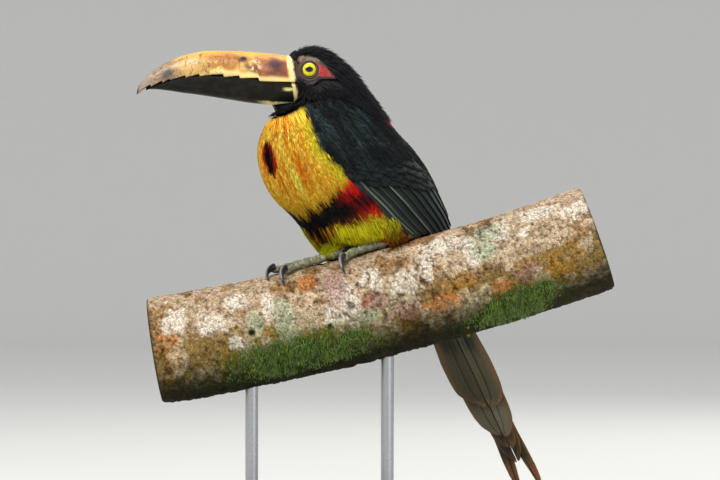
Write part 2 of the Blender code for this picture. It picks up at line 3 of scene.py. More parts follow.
import bpy
import numpy as np
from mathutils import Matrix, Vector


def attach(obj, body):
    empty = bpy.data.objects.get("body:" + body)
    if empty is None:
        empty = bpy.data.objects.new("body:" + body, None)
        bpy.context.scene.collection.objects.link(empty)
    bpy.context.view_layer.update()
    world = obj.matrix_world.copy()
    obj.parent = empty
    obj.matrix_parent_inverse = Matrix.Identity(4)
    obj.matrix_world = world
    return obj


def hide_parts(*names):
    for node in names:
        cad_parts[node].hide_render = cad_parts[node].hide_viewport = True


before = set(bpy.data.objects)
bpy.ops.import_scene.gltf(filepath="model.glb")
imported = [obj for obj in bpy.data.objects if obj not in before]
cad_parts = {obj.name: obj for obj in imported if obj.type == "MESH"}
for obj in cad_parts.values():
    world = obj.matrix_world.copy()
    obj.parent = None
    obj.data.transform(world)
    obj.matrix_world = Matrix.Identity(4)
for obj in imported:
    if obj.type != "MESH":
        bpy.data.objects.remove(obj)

bl_info = {
    "name": "Collared aracari on a branch",
    "version": (1, 0, 0),
    "blender": (4, 5, 0),
    "location": "3D View > Sidebar > Aracari",
    "description": "Dresses the still model of a collared aracari: plumage, bill, eyes, feet, bark and stand",
    "category": "Mesh",
}

MM = 0.001
TAU = 2 * math.pi
SIDES = (("left", 1), ("right", -1))  # the bird's, with the sign of its angles
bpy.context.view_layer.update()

# ---- Branch ----
PERCH_Y = -12 * MM
PERCH_RADIUS = 33.5 * MM
PERCH_START = -124 * MM
PERCH_END = 150 * MM
PERCH_HEIGHT = 136.7 * MM  # of its axis at X = 0
PERCH_SLOPE = 0.247
PERCH_BOW = 0.35  # rise for each metre squared

# ---- Bill ----
HEAD_Y = -12 * MM
BILL_ROOT = -39.5 * MM
BILL_TIP = -135.3 * MM
BILL_SLANT = 0.155  # how far the root's foot lies behind its top, as a share of its height
# Share of the length, height of the culmen, of the cutting edge and of the keel, half the width, in mm.
BILL_OUTLINE = (
    (0.00, 294.4, 278.2, 263.8, 13.4),
    (0.14, 296.0, 279.8, 264.0, 13.0),
    (0.28, 297.1, 281.6, 265.4, 12.0),
    (0.42, 297.6, 283.0, 267.6, 10.8),
    (0.56, 297.4, 283.4, 269.8, 9.3),
    (0.70, 294.6, 282.2, 271.6, 7.6),
    (0.82, 289.8, 279.6, 272.9, 5.8),
    (0.92, 284.2, 276.2, 273.2, 4.4),
    (0.965, 280.0, 273.6, 271.4, 3.2),
    (0.99, 275.8, 271.4, 270.4, 2.0),
    (1.00, 272.8, 270.6, 270.0, 0.9),
)
TOOTH_ENDS = (0.215, 0.335, 0.435, 0.59, 0.68, 0.78, 0.83, 0.905)
TOOTH_HEIGHT = 2.6 * MM
MANDIBLE_END = 0.94

# ---- Plumage: sections from the bill's root to the tail ----
# Middle (x, y, z), half the size from belly to back, lean of the back, half the width, turn towards -Y.
SECTIONS = (
    (-36.6, -12.0, 279.2, 15.2, -8.8, 13.8, 0),
    (-33.6, -12.0, 280.6, 18.9, 8.0, 16.8, 1),
    (-29.6, -12.0, 279.5, 21.8, 30.0, 19.0, 4),
    (-25.2, -12.0, 273.6, 25.2, 55.0, 21.6, 9),
    (-21.4, -11.3, 264.9, 31.0, 76.0, 26.0, 17),
    (-18.8, -9.9, 253.8, 38.5, 84.0, 32.0, 28),
    (-17.2, -8.0, 242.2, 45.5, 82.0, 37.5, 36),
    (-10.8, -2.7, 228.6, 51.0, 80.0, 41.0, 38),
    (-2.6, 3.7, 215.1, 52.0, 79.5, 42.0, 38),
    (6.8, 11.0, 202.1, 48.5, 80.0, 41.0, 38),
    (15.2, 17.6, 187.9, 45.5, 80.0, 39.0, 38),
    (23.5, 24.1, 173.0, 40.0, 79.5, 35.0, 38),
    (36.0, 33.8, 158.1, 30.0, 76.0, 27.0, 38),
    (47.6, 42.9, 143.2, 19.5, 70.0, 21.0, 38),
    (56.6, 50.0, 130.0, 9.5, 62.0, 16.5, 38),
    (64.0, 55.8, 118.0, 5.0, 58.0, 14.5, 38),  # past the root of the tail, where the coverts' tips lie
)
RUMP_END = 14.0
SKIN_DEPTH = 2.4 * MM  # of the skin under the plumage's surface

# ---- Wings ----
WING_EDGES = (
    (5.2, 60, 106),
    (5.7, 46, 117),
    (6.6, 35, 121),
    (8.0, 23, 116),
    (9.4, 14, 111),
    (10.4, 11, 101),
    (11.2, 13, 85),
    (11.8, 20, 54),
)

# ---- Eyes ----
EYE_X, EYE_Z = -28.1 * MM, 285.4 * MM
EYE_RADIUS = 5.6 * MM
EYE_DEPTH = 13.6 * MM

# ---- Tail ----
BODY_YAW = math.radians(38)
TAIL_LEAN = math.radians(31)
TAIL_ROLL = math.radians(14)  # about its own length, its left edge up
TAIL_ROOT = np.array((58.8, 48.3, 129.6)) * MM
TAIL_FEATHERS = ((65, 12.8), (88, 10.9), (98, 7.4), (109, 7.4), (129, 6.9))  # outer pair first
TAIL_ARCH = 4.0  # sag below the middle, in metres for each metre squared of spread
FEATHER_LAYER = 1.05 * MM

# ---- Feet ----
FEET = {"left": (31.5, 3.0), "right": (-9.0, 3.0)}
TOE_RADIUS = 2.6 * MM
TARSUS_RADIUS = 2.9 * MM
CLAW_LENGTH = 13.5
TOES = {
    "left": {
        "front_outer": (30.0, -3.4, 2.9, 0, 58, 112),
        "front_inner": (23.5, -3.4, -2.9, -4, 32, 85),
        "back_outer": (14.0, 5.2, 1.2, 208, 220, 230),
        "back_inner": (8.0, 2.4, -6.2, 220, 222, 226),
    },
    "right": {
        "front_inner": (25.0, -3.4, 2.9, 2, 50, 112),
        "front_outer": (31.0, -3.4, -2.9, -2, 34, 105),
        "back_inner": (10.0, 5.2, 1.2, 215, 238, 255),
        "back_outer": (15.0, 0.6, -6.2, 235, 245, 258),
    },
}
LEG_RISE = 19 * MM
LEG_LEAN = {"left": (0.1, 0.6), "right": (0.95, 0.8)}
THIGH_RADIUS = 6.5 * MM

# ---- Stand ----
BASE_SIZE = (240 * MM, 196 * MM, 12 * MM)
BASE_CORNER = 16 * MM
ROD_RADIUS = 4 * MM
FLANGE_RADIUS = 12 * MM
ROD_PLACES = {"left": -64 * MM, "right": 20 * MM}
ROD_SEAT = 14 * MM


# ==== Numbers, curves and noise ====

def linear(code):
    """An sRGB hex colour as linear red, green and blue and a solid alpha, each from 0 to 1."""
    channels = np.array([int(code[i : i + 2], 16) for i in (1, 3, 5)]) / 255
    value = np.where(channels <= 0.04045, channels / 12.92, ((channels + 0.055) / 1.055) ** 2.4)
    return (*value.tolist(), 1.0)


def tone(colour):
    """A colour as an array, from a hex value, a setting or linear numbers."""
    return np.asarray(linear(colour)[:3] if isinstance(colour, str) else colour)


def smooth_rows(rows, place):
    """A table's rows at fractional places: a cubic through them whose slope at a row joins its neighbours."""
    rows = np.asarray(rows, float)
    last = len(rows) - 1
    place = np.clip(np.asarray(place, float), 0, last)
    low = np.minimum(place.astype(int), last - 1)
    f = (place - low)[..., None]
    before, start = rows[np.maximum(low - 1, 0)], rows[low]
    end, after = rows[low + 1], rows[np.minimum(low + 2, last)]
    slope_start = np.where(low[..., None] == 0, end - start, (end - before) / 2)
    slope_end = np.where(low[..., None] == last - 1, end - start, (after - start) / 2)
    return (
        (2 * f**3 - 3 * f**2 + 1) * start
        + (f**3 - 2 * f**2 + f) * slope_start
        + (3 * f**2 - 2 * f**3) * end
        + (f**3 - f**2) * slope_end
    )


def smooth_keys(rows, key):
    """The rest of a table's rows, read smoothly at a value of their first column."""
    keys = np.array([row[0] for row in rows])
    return smooth_rows([row[1:] for row in rows], np.interp(key, keys, np.arange(len(rows))))


def stacked(*parts):
    """Arrays spread to one shape and joined as the coordinates of points."""
    return np.stack(np.broadcast_arrays(*parts), -1)


def unit(vectors):
    return vectors / np.maximum(np.linalg.norm(vectors, axis=-1, keepdims=True), 1e-12)


def step(low, high, value):
    """0 below low, 1 above high and a smooth rise between: 3s squared less 2s cubed."""
    s = np.clip((np.asarray(value, float) - low) / (high - low), 0, 1)
    return s * s * (3 - 2 * s)


def mix(first, second, share):
    """Colours blended by a share from 0 to 1 for each point."""
    first, second = tone(first), tone(second)
    return first + (second - first) * np.asarray(share)[..., None]


def noise(points, seed=0):
    """Smooth noise from -1 to 1: random values on a whole-number lattice, blended by the smooth step."""
    points = np.asarray(points, float)
    cell = np.floor(points).astype(np.int64)
    f = points - cell
    f = f * f * (3 - 2 * f)
    total = np.zeros(points.shape[:-1])
    dimensions = points.shape[-1]
    for corner in range(2**dimensions):
        bits = [(corner >> d) & 1 for d in range(dimensions)]
        code = np.full(total.shape, seed * 7919 + 13, np.int64)
        weight = np.ones_like(total)
        for d, bit in enumerate(bits):
            code = (code ^ (cell[..., d] + bit) * (374761393, 668265263, 2147483647)[d]) * 1274126177
            code = (code ^ (code >> 15)) & 0x7FFFFFFF
            weight = weight * (f[..., d] if bit else 1 - f[..., d])
        total += weight * ((code & 0xFFFF) / 32767.5 - 1)
    return total


def layered_noise(points, seed=0, octaves=3):
    """Noise with finer and fainter copies added, each twice as fine and half as strong."""
    points = np.asarray(points, float)
    return sum(noise(points * 2**i, seed + i) / 2**i for i in range(octaves)) / 1.6


# ==== The model's shapes ====

def perch_axis(x):
    """The branch's axis, a parabola in the XZ plane, and the unit vector across it that points up."""
    x = np.asarray(x, float)
    slope = PERCH_SLOPE + 2 * PERCH_BOW * x
    middle = stacked(x, np.full_like(x, PERCH_Y), PERCH_HEIGHT + PERCH_SLOPE * x + PERCH_BOW * x**2)
    return middle, unit(stacked(-slope, np.zeros_like(x), np.ones_like(x)))


def on_perch(x, angle, height=0.0):
    """A circle round the axis at x, its radius raised by a height, at an angle from the top towards -Y."""
    x, angle, height = np.broadcast_arrays(x, angle, height)
    middle, up = perch_axis(x)
    toward = np.array([0.0, -1.0, 0.0])
    around = np.cos(angle)[..., None] * up + np.sin(angle)[..., None] * toward
    return middle + (PERCH_RADIUS + height)[..., None] * around


def clear_of_perch(points, clearance, foot_clearance=0.0):
    """Points pushed straight away from the branch's axis to at least a clearance over its bark."""
    x = points[..., 0]
    for _ in range(4):
        middle, up = perch_axis(x)
        along = stacked(up[..., 2], np.zeros_like(x), -up[..., 0])
        x = x + ((points - middle) * along).sum(-1) * along[..., 0]
    middle, up = perch_axis(x)
    away = points - middle
    distance = np.linalg.norm(away, axis=-1, keepdims=True)
    height = (away * up).sum(-1)
    round_top = np.arctan2(PERCH_Y - points[..., 1], np.maximum(height, 0.01 * distance[..., 0]))
    wanted = PERCH_RADIUS + clearance + foot_clearance * step(-1.466, -1.117, round_top)
    return middle + away / distance * np.maximum(distance, wanted[..., None])


def clear_of_feet(points, clearance):
    """Points kept clear of the bark, and of the toes where a toe's course on the bark passes near them."""
    courses = {"front": [], "back": []}
    for foot, toes in TOES.items():
        for toe in toes:
            x, turn = toe_course(foot, toe, np.linspace(-4, toes[toe][0] + 9, 14))
            courses[toe.split("_")[0]].extend(stacked(x, turn * PERCH_RADIUS))
    middle, up = perch_axis(points[..., 0])
    turn = np.arctan2(PERCH_Y - points[..., 1], ((points - middle) * up).sum(-1))
    place = stacked(points[..., 0], turn * PERCH_RADIUS)
    rise = np.zeros(turn.shape)
    for end, height in (("front", 5.2 * MM), ("back", 7.0 * MM)):
        for at in courses[end]:
            distance = np.hypot(place[..., 0] - at[0], place[..., 1] - at[1])
            rise = np.maximum(rise, height * step(5.5 * MM, 3.2 * MM, distance))
    return clear_of_perch(points, clearance + rise)


def plumage(station, angle):
    """The feathers' outer surface: an ellipse at each station, turned, leant, and smooth between them."""
    x, y, z, depth, lean, width, yaw = np.moveaxis(smooth_rows(SECTIONS, station), -1, 0)
    lean, yaw = np.radians(lean), np.radians(yaw)
    left = stacked(np.sin(yaw), -np.cos(yaw), np.zeros_like(yaw))
    back = stacked(np.cos(yaw) * np.sin(lean), np.sin(yaw) * np.sin(lean), np.cos(lean))
    middle = stacked(x, y, z)
    sideways = (width * np.sin(angle))[..., None] * left
    upwards = (depth * np.cos(angle))[..., None] * back
    return (middle + sideways + upwards) * MM


def plumage_frame(station, angle):
    """The unit normal, the unit lie of the feathers and the metres that one station and one radian span."""
    small = 0.01
    low = np.maximum(station - small, 0)
    high = np.minimum(station + small, len(SECTIONS) - 1)
    along = (plumage(high, angle) - plumage(low, angle)) / (high - low)[..., None]
    around = (plumage(station, angle + small) - plumage(station, angle - small)) / (2 * small)
    normal = unit(np.cross(around, along))
    return normal, unit(along), np.linalg.norm(along, axis=-1), np.linalg.norm(around, axis=-1)


def wing_edges(station):
    """Angles of the wing's upper and lower edges at a station, in radians."""
    keys = [row[0] for row in WING_EDGES]
    edges = smooth_keys(WING_EDGES, np.clip(station, keys[0], keys[-1]))
    return np.radians(edges[..., 0]), np.radians(edges[..., 1])


def on_head(x, z, side):
    """Station and angle of the head's surface at a side-on place: Newton's steps on the two unknowns."""
    station = np.full(np.shape(x), 1.9)
    angle = np.full(np.shape(x), side * math.radians(85))
    for _ in range(14):
        here = plumage(station, angle)
        by_station = (plumage(station + 0.01, angle) - here) / 0.01
        by_angle = (plumage(station, angle + 0.01) - here) / 0.01
        dx, dz = x - here[..., 0], z - here[..., 2]
        det = by_station[..., 0] * by_angle[..., 2] - by_station[..., 2] * by_angle[..., 0]
        det = np.where(np.abs(det) < 1e-9, 1e-9, det)
        station = station + np.clip((dx * by_angle[..., 2] - dz * by_angle[..., 0]) / det, -0.5, 0.5)
        angle = angle + np.clip((dz * by_station[..., 0] - dx * by_station[..., 2]) / det, -0.4, 0.4)
        station = np.clip(station, 0.0, 5.0)
    return station, angle


def bill_ring(share):
    """The bill's outline at shares of its length: x, culmen, cutting edge, keel and half width."""
    keys = smooth_keys(BILL_OUTLINE, share) * MM
    x = BILL_ROOT + (BILL_TIP - BILL_ROOT) * np.asarray(share)
    return x, keys[..., 0], keys[..., 1], keys[..., 2], keys[..., 3]


def toe_course(foot, toe, places):
    """A toe's course on the bark: its heading turns with the square of the distance, to the claw's point."""
    length, along, across, root_heading, end_heading, tip_heading = TOES[foot][toe]
    run = np.linspace(0, length + CLAW_LENGTH, 200)
    share = np.clip(run / length, 0, 1)
    past = np.clip((run - length) / CLAW_LENGTH, 0, 1)
    heading = root_heading + (end_heading - root_heading) * share**2 + (tip_heading - end_heading) * past
    heading = np.radians(heading)
    x = FEET[foot][0] + along - np.cumsum(np.cos(heading)) * run[1]
    sideways = across + np.cumsum(np.sin(heading)) * run[1]
    angle = math.radians(FEET[foot][1]) + sideways * MM / PERCH_RADIUS
    before = np.minimum(places, 0)
    x = np.interp(places, run, x) - before * math.cos(math.radians(root_heading))
    turned = before * math.sin(math.radians(root_heading)) * MM / PERCH_RADIUS
    return x * MM, np.interp(places, run, angle) + turned


# ==== Meshes ====

def grid_faces(rows, columns, wrap=False, start=0):
    """Quads of a grid of points in row order; with wrap, its last column joins its first."""
    row = np.arange(rows - 1)[:, None]
    column = np.arange(columns if wrap else columns - 1)[None, :]
    following = (column + 1) % columns
    a, b = row * columns + column, row * columns + following
    return stacked(a, b, b + columns, a + columns).reshape(-1, 4) + start


def fan_faces(ring, centre):
    """Triangles from a closed ring of points to one centre."""
    ring = np.asarray(ring)
    return stacked(ring, np.roll(ring, -1), np.full(len(ring), centre))


def closed_tube(rings):
    """Points and faces of a tube through rings, each end closed by triangles to the ring's mean point."""
    count, sides = rings.shape[:2]
    ends = np.stack([rings[0].mean(0), rings[-1].mean(0)])
    points = np.concatenate([rings.reshape(-1, 3), ends])
    first = fan_faces(np.arange(sides), count * sides)[:, ::-1]
    last = fan_faces(np.arange(sides) + (count - 1) * sides, count * sides + 1)
    return points, [grid_faces(count, sides, True), np.concatenate([first, last])]


def tube_rings(path, radii, sides, up, flat=1.0):
    """Rings across a path: a cosine sideways and a sine along up, each times the radius at that place."""
    tangent = unit(np.gradient(path, axis=0))
    side = unit(np.cross(tangent, up))
    normal = np.cross(side, tangent)
    turn = np.linspace(0, TAU, sides, endpoint=False)
    radii = np.broadcast_to(np.reshape(radii, (len(path), -1)), (len(path), sides))[..., None]
    ring = np.cos(turn)[None, :, None] * side[:, None] + flat * np.sin(turn)[None, :, None] * normal[:, None]
    return path[:, None] + ring * radii


def signed_volume(points, faces):
    """Six times the volume inside each body of a stack (body, point, 3): positive if its faces look out."""
    centred = points - points.mean(1, keepdims=True)
    total = np.zeros(len(points))
    for face in faces:
        for i in range(1, face.shape[1] - 1):
            a, b, c = centred[:, face[:, 0]], centred[:, face[:, i]], centred[:, face[:, i + 1]]
            total += (a * np.cross(b, c)).sum((-1, -2))
    return total


def joined(points, faces):
    """One mesh from a stack of like closed bodies, each with its faces turned outwards."""
    inside_out = signed_volume(points, faces) < 0
    offset = (np.arange(len(points)) * points.shape[1])[:, None, None]
    result = []
    for face in faces:
        turned = np.where(inside_out[:, None, None], face[None, :, ::-1], face[None])
        result.append((turned + offset).reshape(-1, face.shape[1]))
    return points.reshape(-1, 3), result


def add_piece(name, points, faces, materials, nodes=(), tint=None, maps=None, which=None):
    """A new piece riding on the model's one body: its mesh, colours, maps and the solids it stands for."""
    mesh = bpy.data.meshes.new(name)
    points = np.ascontiguousarray(points, np.float32).reshape(-1, 3)
    corners = np.concatenate([face.ravel() for face in faces]).astype(np.int32)
    sizes = np.concatenate([np.full(len(face), face.shape[1]) for face in faces])
    mesh.vertices.add(len(points))
    mesh.vertices.foreach_set("co", points.ravel())
    mesh.loops.add(len(corners))
    mesh.loops.foreach_set("vertex_index", corners)
    mesh.polygons.add(len(sizes))
    mesh.polygons.foreach_set("loop_start", (np.cumsum(sizes) - sizes).astype(np.int32))
    mesh.update(calc_edges=True)
    mesh.polygons.foreach_set("use_smooth", np.ones(len(sizes), bool))
    for material in materials if isinstance(materials, (list, tuple)) else [materials]:
        mesh.materials.append(material)
    if which is not None:
        mesh.polygons.foreach_set("material_index", np.asarray(which, np.int32))
    if tint is not None:
        rgba = np.ones((len(points), 4), np.float32)
        rgba[:, :3] = np.clip(np.asarray(tint).reshape(-1, 3), 0, 1)
        layer = mesh.color_attributes.new("tint", "FLOAT_COLOR", "POINT")
        layer.data.foreach_set("color", rgba.ravel())
    for map_name, values in (maps or {}).items():
        layer = mesh.uv_layers.new(name=map_name)
        values = np.ascontiguousarray(np.asarray(values, np.float32).reshape(-1, 2)[corners])
        layer.uv.foreach_set("vector", values.ravel())
    mesh.update()
    piece = bpy.data.objects.new(name, mesh)
    bpy.context.scene.collection.objects.link(piece)
    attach(piece, "root")
    if nodes:
        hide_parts(*nodes)
    return piece


def add_tube(name, rings, material, nodes, tint=None):
    """A piece that is one tube through rings; each closed end takes its ring's mean colour."""
    points, faces = closed_tube(rings)
    if tint is not None:
        tint = np.broadcast_to(tint, (*rings.shape[:2], 3))
        tint = np.concatenate([tint.reshape(-1, 3), tint[[0, -1]].mean(1)])
    points, faces = joined(points[None], faces)
    return add_piece(name, points, faces, material, nodes, tint)


# ==== Materials ====

def add_node(tree, kind, links=None, settings=None, **inputs):
    """A node of a kind, with its settings, its inputs' values and the sockets that feed it."""
    node = tree.nodes.new(kind)
    for key, value in (settings or {}).items():
        setattr(node, key, value)
    for key, value in inputs.items():
        node.inputs[int(key[1:]) if key[1:].isdigit() else key.replace("_", " ")].default_value = value
    for key, socket in (links or {}).items():
        tree.links.new(socket, node.inputs[key])
    return node


def new_material(name, **values):
    """A principled material with constant values on the shader's sockets; returns it, its tree and shader."""
    material = bpy.data.materials.new(name)
    material.use_nodes = True
    shader = material.node_tree.nodes["Principled BSDF"]
    for key, value in values.items():
        shader.inputs[key.replace("_", " ")].default_value = value
    return material, material.node_tree, shader


def tint_of(tree):
    return add_node(tree, "ShaderNodeAttribute", settings={"attribute_name": "tint"}).outputs["Color"]


def object_noise(tree, per_metre, detail=3.0, roughness=0.55, stretch=(1, 1, 1)):
    """Noise on the piece's own place, in cells of a size in metres, stretched along its axes."""
    place = add_node(tree, "ShaderNodeTexCoord").outputs["Object"]
    mapped = add_node(tree, "ShaderNodeMapping", {"Vector": place}, Scale=stretch).outputs["Vector"]
    return add_node(
        tree, "ShaderNodeTexNoise", {"Vector": mapped}, Scale=per_metre, Detail=detail, Roughness=roughness
    ).outputs["Fac"]


def ranged(tree, value, low, high, to_low=0.0, to_high=1.0):
    """A value carried from one range to another, and held at its ends."""
    return add_node(
        tree, "ShaderNodeMapRange", {"Value": value},
        From_Min=low, From_Max=high, To_Min=to_low, To_Max=to_high,
    ).outputs["Result"]


def blended(tree, share, first, second, mode="MIX"):
    """Two colours blended by a share; each is a socket, a linear colour or a share itself."""
    node = add_node(tree, "ShaderNodeMix", settings={"data_type": "RGBA", "blend_type": mode})
    for index, value in ((0, share), (6, first), (7, second)):
        if isinstance(value, bpy.types.NodeSocket):
            tree.links.new(value, node.inputs[index])
        else:
            node.inputs[index].default_value = value
    return node.outputs[2]


def patterned(tree, shader, pattern, dark, light, low=0.3, high=0.7):
    """The piece's own colours times a pattern: darker where it is low, lighter where it is high."""
    shade = ranged(tree, pattern, low, high, dark, light)
    tree.links.new(blended(tree, 1.0, tint_of(tree), shade, "MULTIPLY"), shader.inputs["Base Color"])
    return shade


def bumped(tree, shader, height, strength, distance):
    """Relief from a height, added under any that the shader already has."""
    links = {"Height": height}
    if shader.inputs["Normal"].is_linked:
        links["Normal"] = shader.inputs["Normal"].links[0].from_socket
    bump = add_node(tree, "ShaderNodeBump", links, Strength=strength, Distance=distance)
    tree.links.new(bump.outputs["Normal"], shader.inputs["Normal"])


def vane_height(tree, spacing):
    """Barbs of a vane: a sine of the distance along the shaft plus half the distance from it."""
    uv = add_node(tree, "ShaderNodeUVMap", settings={"uv_map": "Vane"}).outputs["UV"]
    parts = add_node(tree, "ShaderNodeSeparateXYZ", {"Vector": uv}).outputs
    away = add_node(tree, "ShaderNodeMath", {0: parts["X"]}, {"operation": "ABSOLUTE"}).outputs[0]
    lean = add_node(tree, "ShaderNodeMath", {0: away}, {"operation": "MULTIPLY"}, _1=0.9).outputs[0]
    along = add_node(tree, "ShaderNodeMath", {0: parts["Y"], 1: lean}, {"operation": "SUBTRACT"}).outputs[0]
    multiply = {"operation": "MULTIPLY"}
    turns = add_node(tree, "ShaderNodeMath", {0: along}, multiply, _1=TAU / spacing).outputs[0]
    return add_node(tree, "ShaderNodeMath", {0: turns}, {"operation": "SINE"}).outputs[0]


def plumage_material(name, roughness, sheen, specular, vane=None):
    """Keratin feathers, grown: matt and soft where loose, glossy where the barbs lie shut."""
    material, tree, shader = new_material(
        name, Roughness=roughness, Sheen_Weight=sheen, Sheen_Roughness=0.4, Specular_IOR_Level=specular
    )
    speckle = ranged(tree, object_noise(tree, 900, 2), 0.3, 0.7, 0.78, 1.16)
    colour = blended(tree, 1.0, tint_of(tree), speckle, "MULTIPLY")
    if vane:
        height = vane_height(tree, vane)
        shade = ranged(tree, height, -1, 1, 0.72, 1.15)
        colour = blended(tree, 1.0, colour, shade, "MULTIPLY")
        bumped(tree, shader, height, 0.35, 0.00025)
    tree.links.new(colour, shader.inputs["Base Color"])
    return material


# ==== Settings ====

def colour_setting(name, description, code):
    """A colour that can be changed, shown as a swatch."""
    return bpy.props.FloatVectorProperty(
        name=name, description=description, default=linear(code)[:3], subtype="COLOR", size=3)


def length_setting(name, description, default, low, high):
    """A length that can be changed, kept between two others."""
    return bpy.props.FloatProperty(
        name=name, description=description, default=default, min=low, max=high, unit="LENGTH", precision=4)


# ==== Plumage ====

class PlumageSettings(bpy.types.PropertyGroup):
    strand_width: length_setting(
        "Strand width", "Width of a breast strand at its widest", 0.95 * MM, 0.3 * MM, 4 * MM)
    strand_length: length_setting("Strand length", "Length of a breast strand", 13 * MM, 3 * MM, 30 * MM)
    row_spacing: length_setting(
        "Row spacing", "Distance between rows of strands along the body", 1.1 * MM, 0.5 * MM, 6 * MM)
    seed: bpy.props.IntProperty(name="Seed", description="Start of the random draws", default=7, min=0)
    hood: colour_setting("Hood", "Black of the head", "#0E0F14")
    back: colour_setting("Back", "Green-black of back and wings", "#141B1C")
    breast: colour_setting("Breast", "Golden yellow of the breast", "#F8B014")
    pale: colour_setting("Pale breast", "Lightest yellow of the breast", "#FFE25A")
    belly: colour_setting("Belly", "Lime yellow of the belly", "#C8C206")
    flame: colour_setting("Flame", "Orange streaks of the breast", "#DE6410")
    red: colour_setting("Red", "Scarlet of band and rump", "#F01410")
    chestnut: colour_setting("Chestnut", "Thighs and collar", "#862E12")


# Angle from the back in degrees, and the station where the hood ends there.
HOOD_EDGE = (
    (0, 5.3), (42, 5.24), (60, 4.88), (67, 4.49), (75, 4.04), (86, 3.83), (102, 3.71), (116, 3.72),
    (125, 3.9),
    (137, 4.12), (150, 4.2), (162, 4.22), (180, 4.35),
)
YELLOW_SIDE = (  # station, and the angle where the yellow begins there
    (3.0, 118), (4.09, 123), (5.3, 128.5), (6.1, 128), (6.57, 123), (7.3, 119.5), (8.1, 114), (8.86, 112),
    (9.69, 107), (10.33, 100.5), (12.0, 92), (15.0, 88),
)
# Angle, and the station of the dark band's upper and lower edges there.
BAND_UPPER = ((110, 7.3), (118, 7.42), (128, 7.8), (141, 8.08), (150, 8.28), (160, 8.48), (180, 8.82))
BAND_LOWER = ((110, 8.8), (118, 8.95), (127, 9.02), (135, 9.05), (150, 9.25), (165, 9.55), (180, 9.85))


def read(table, key):
    return np.interp(key, [row[0] for row in table], [row[1] for row in table])


def from_back(angle):
    """Degrees from the middle of the back, on either side: 180 is the middle of the belly."""
    return np.degrees(np.abs((np.asarray(angle) + math.pi) % TAU - math.pi))


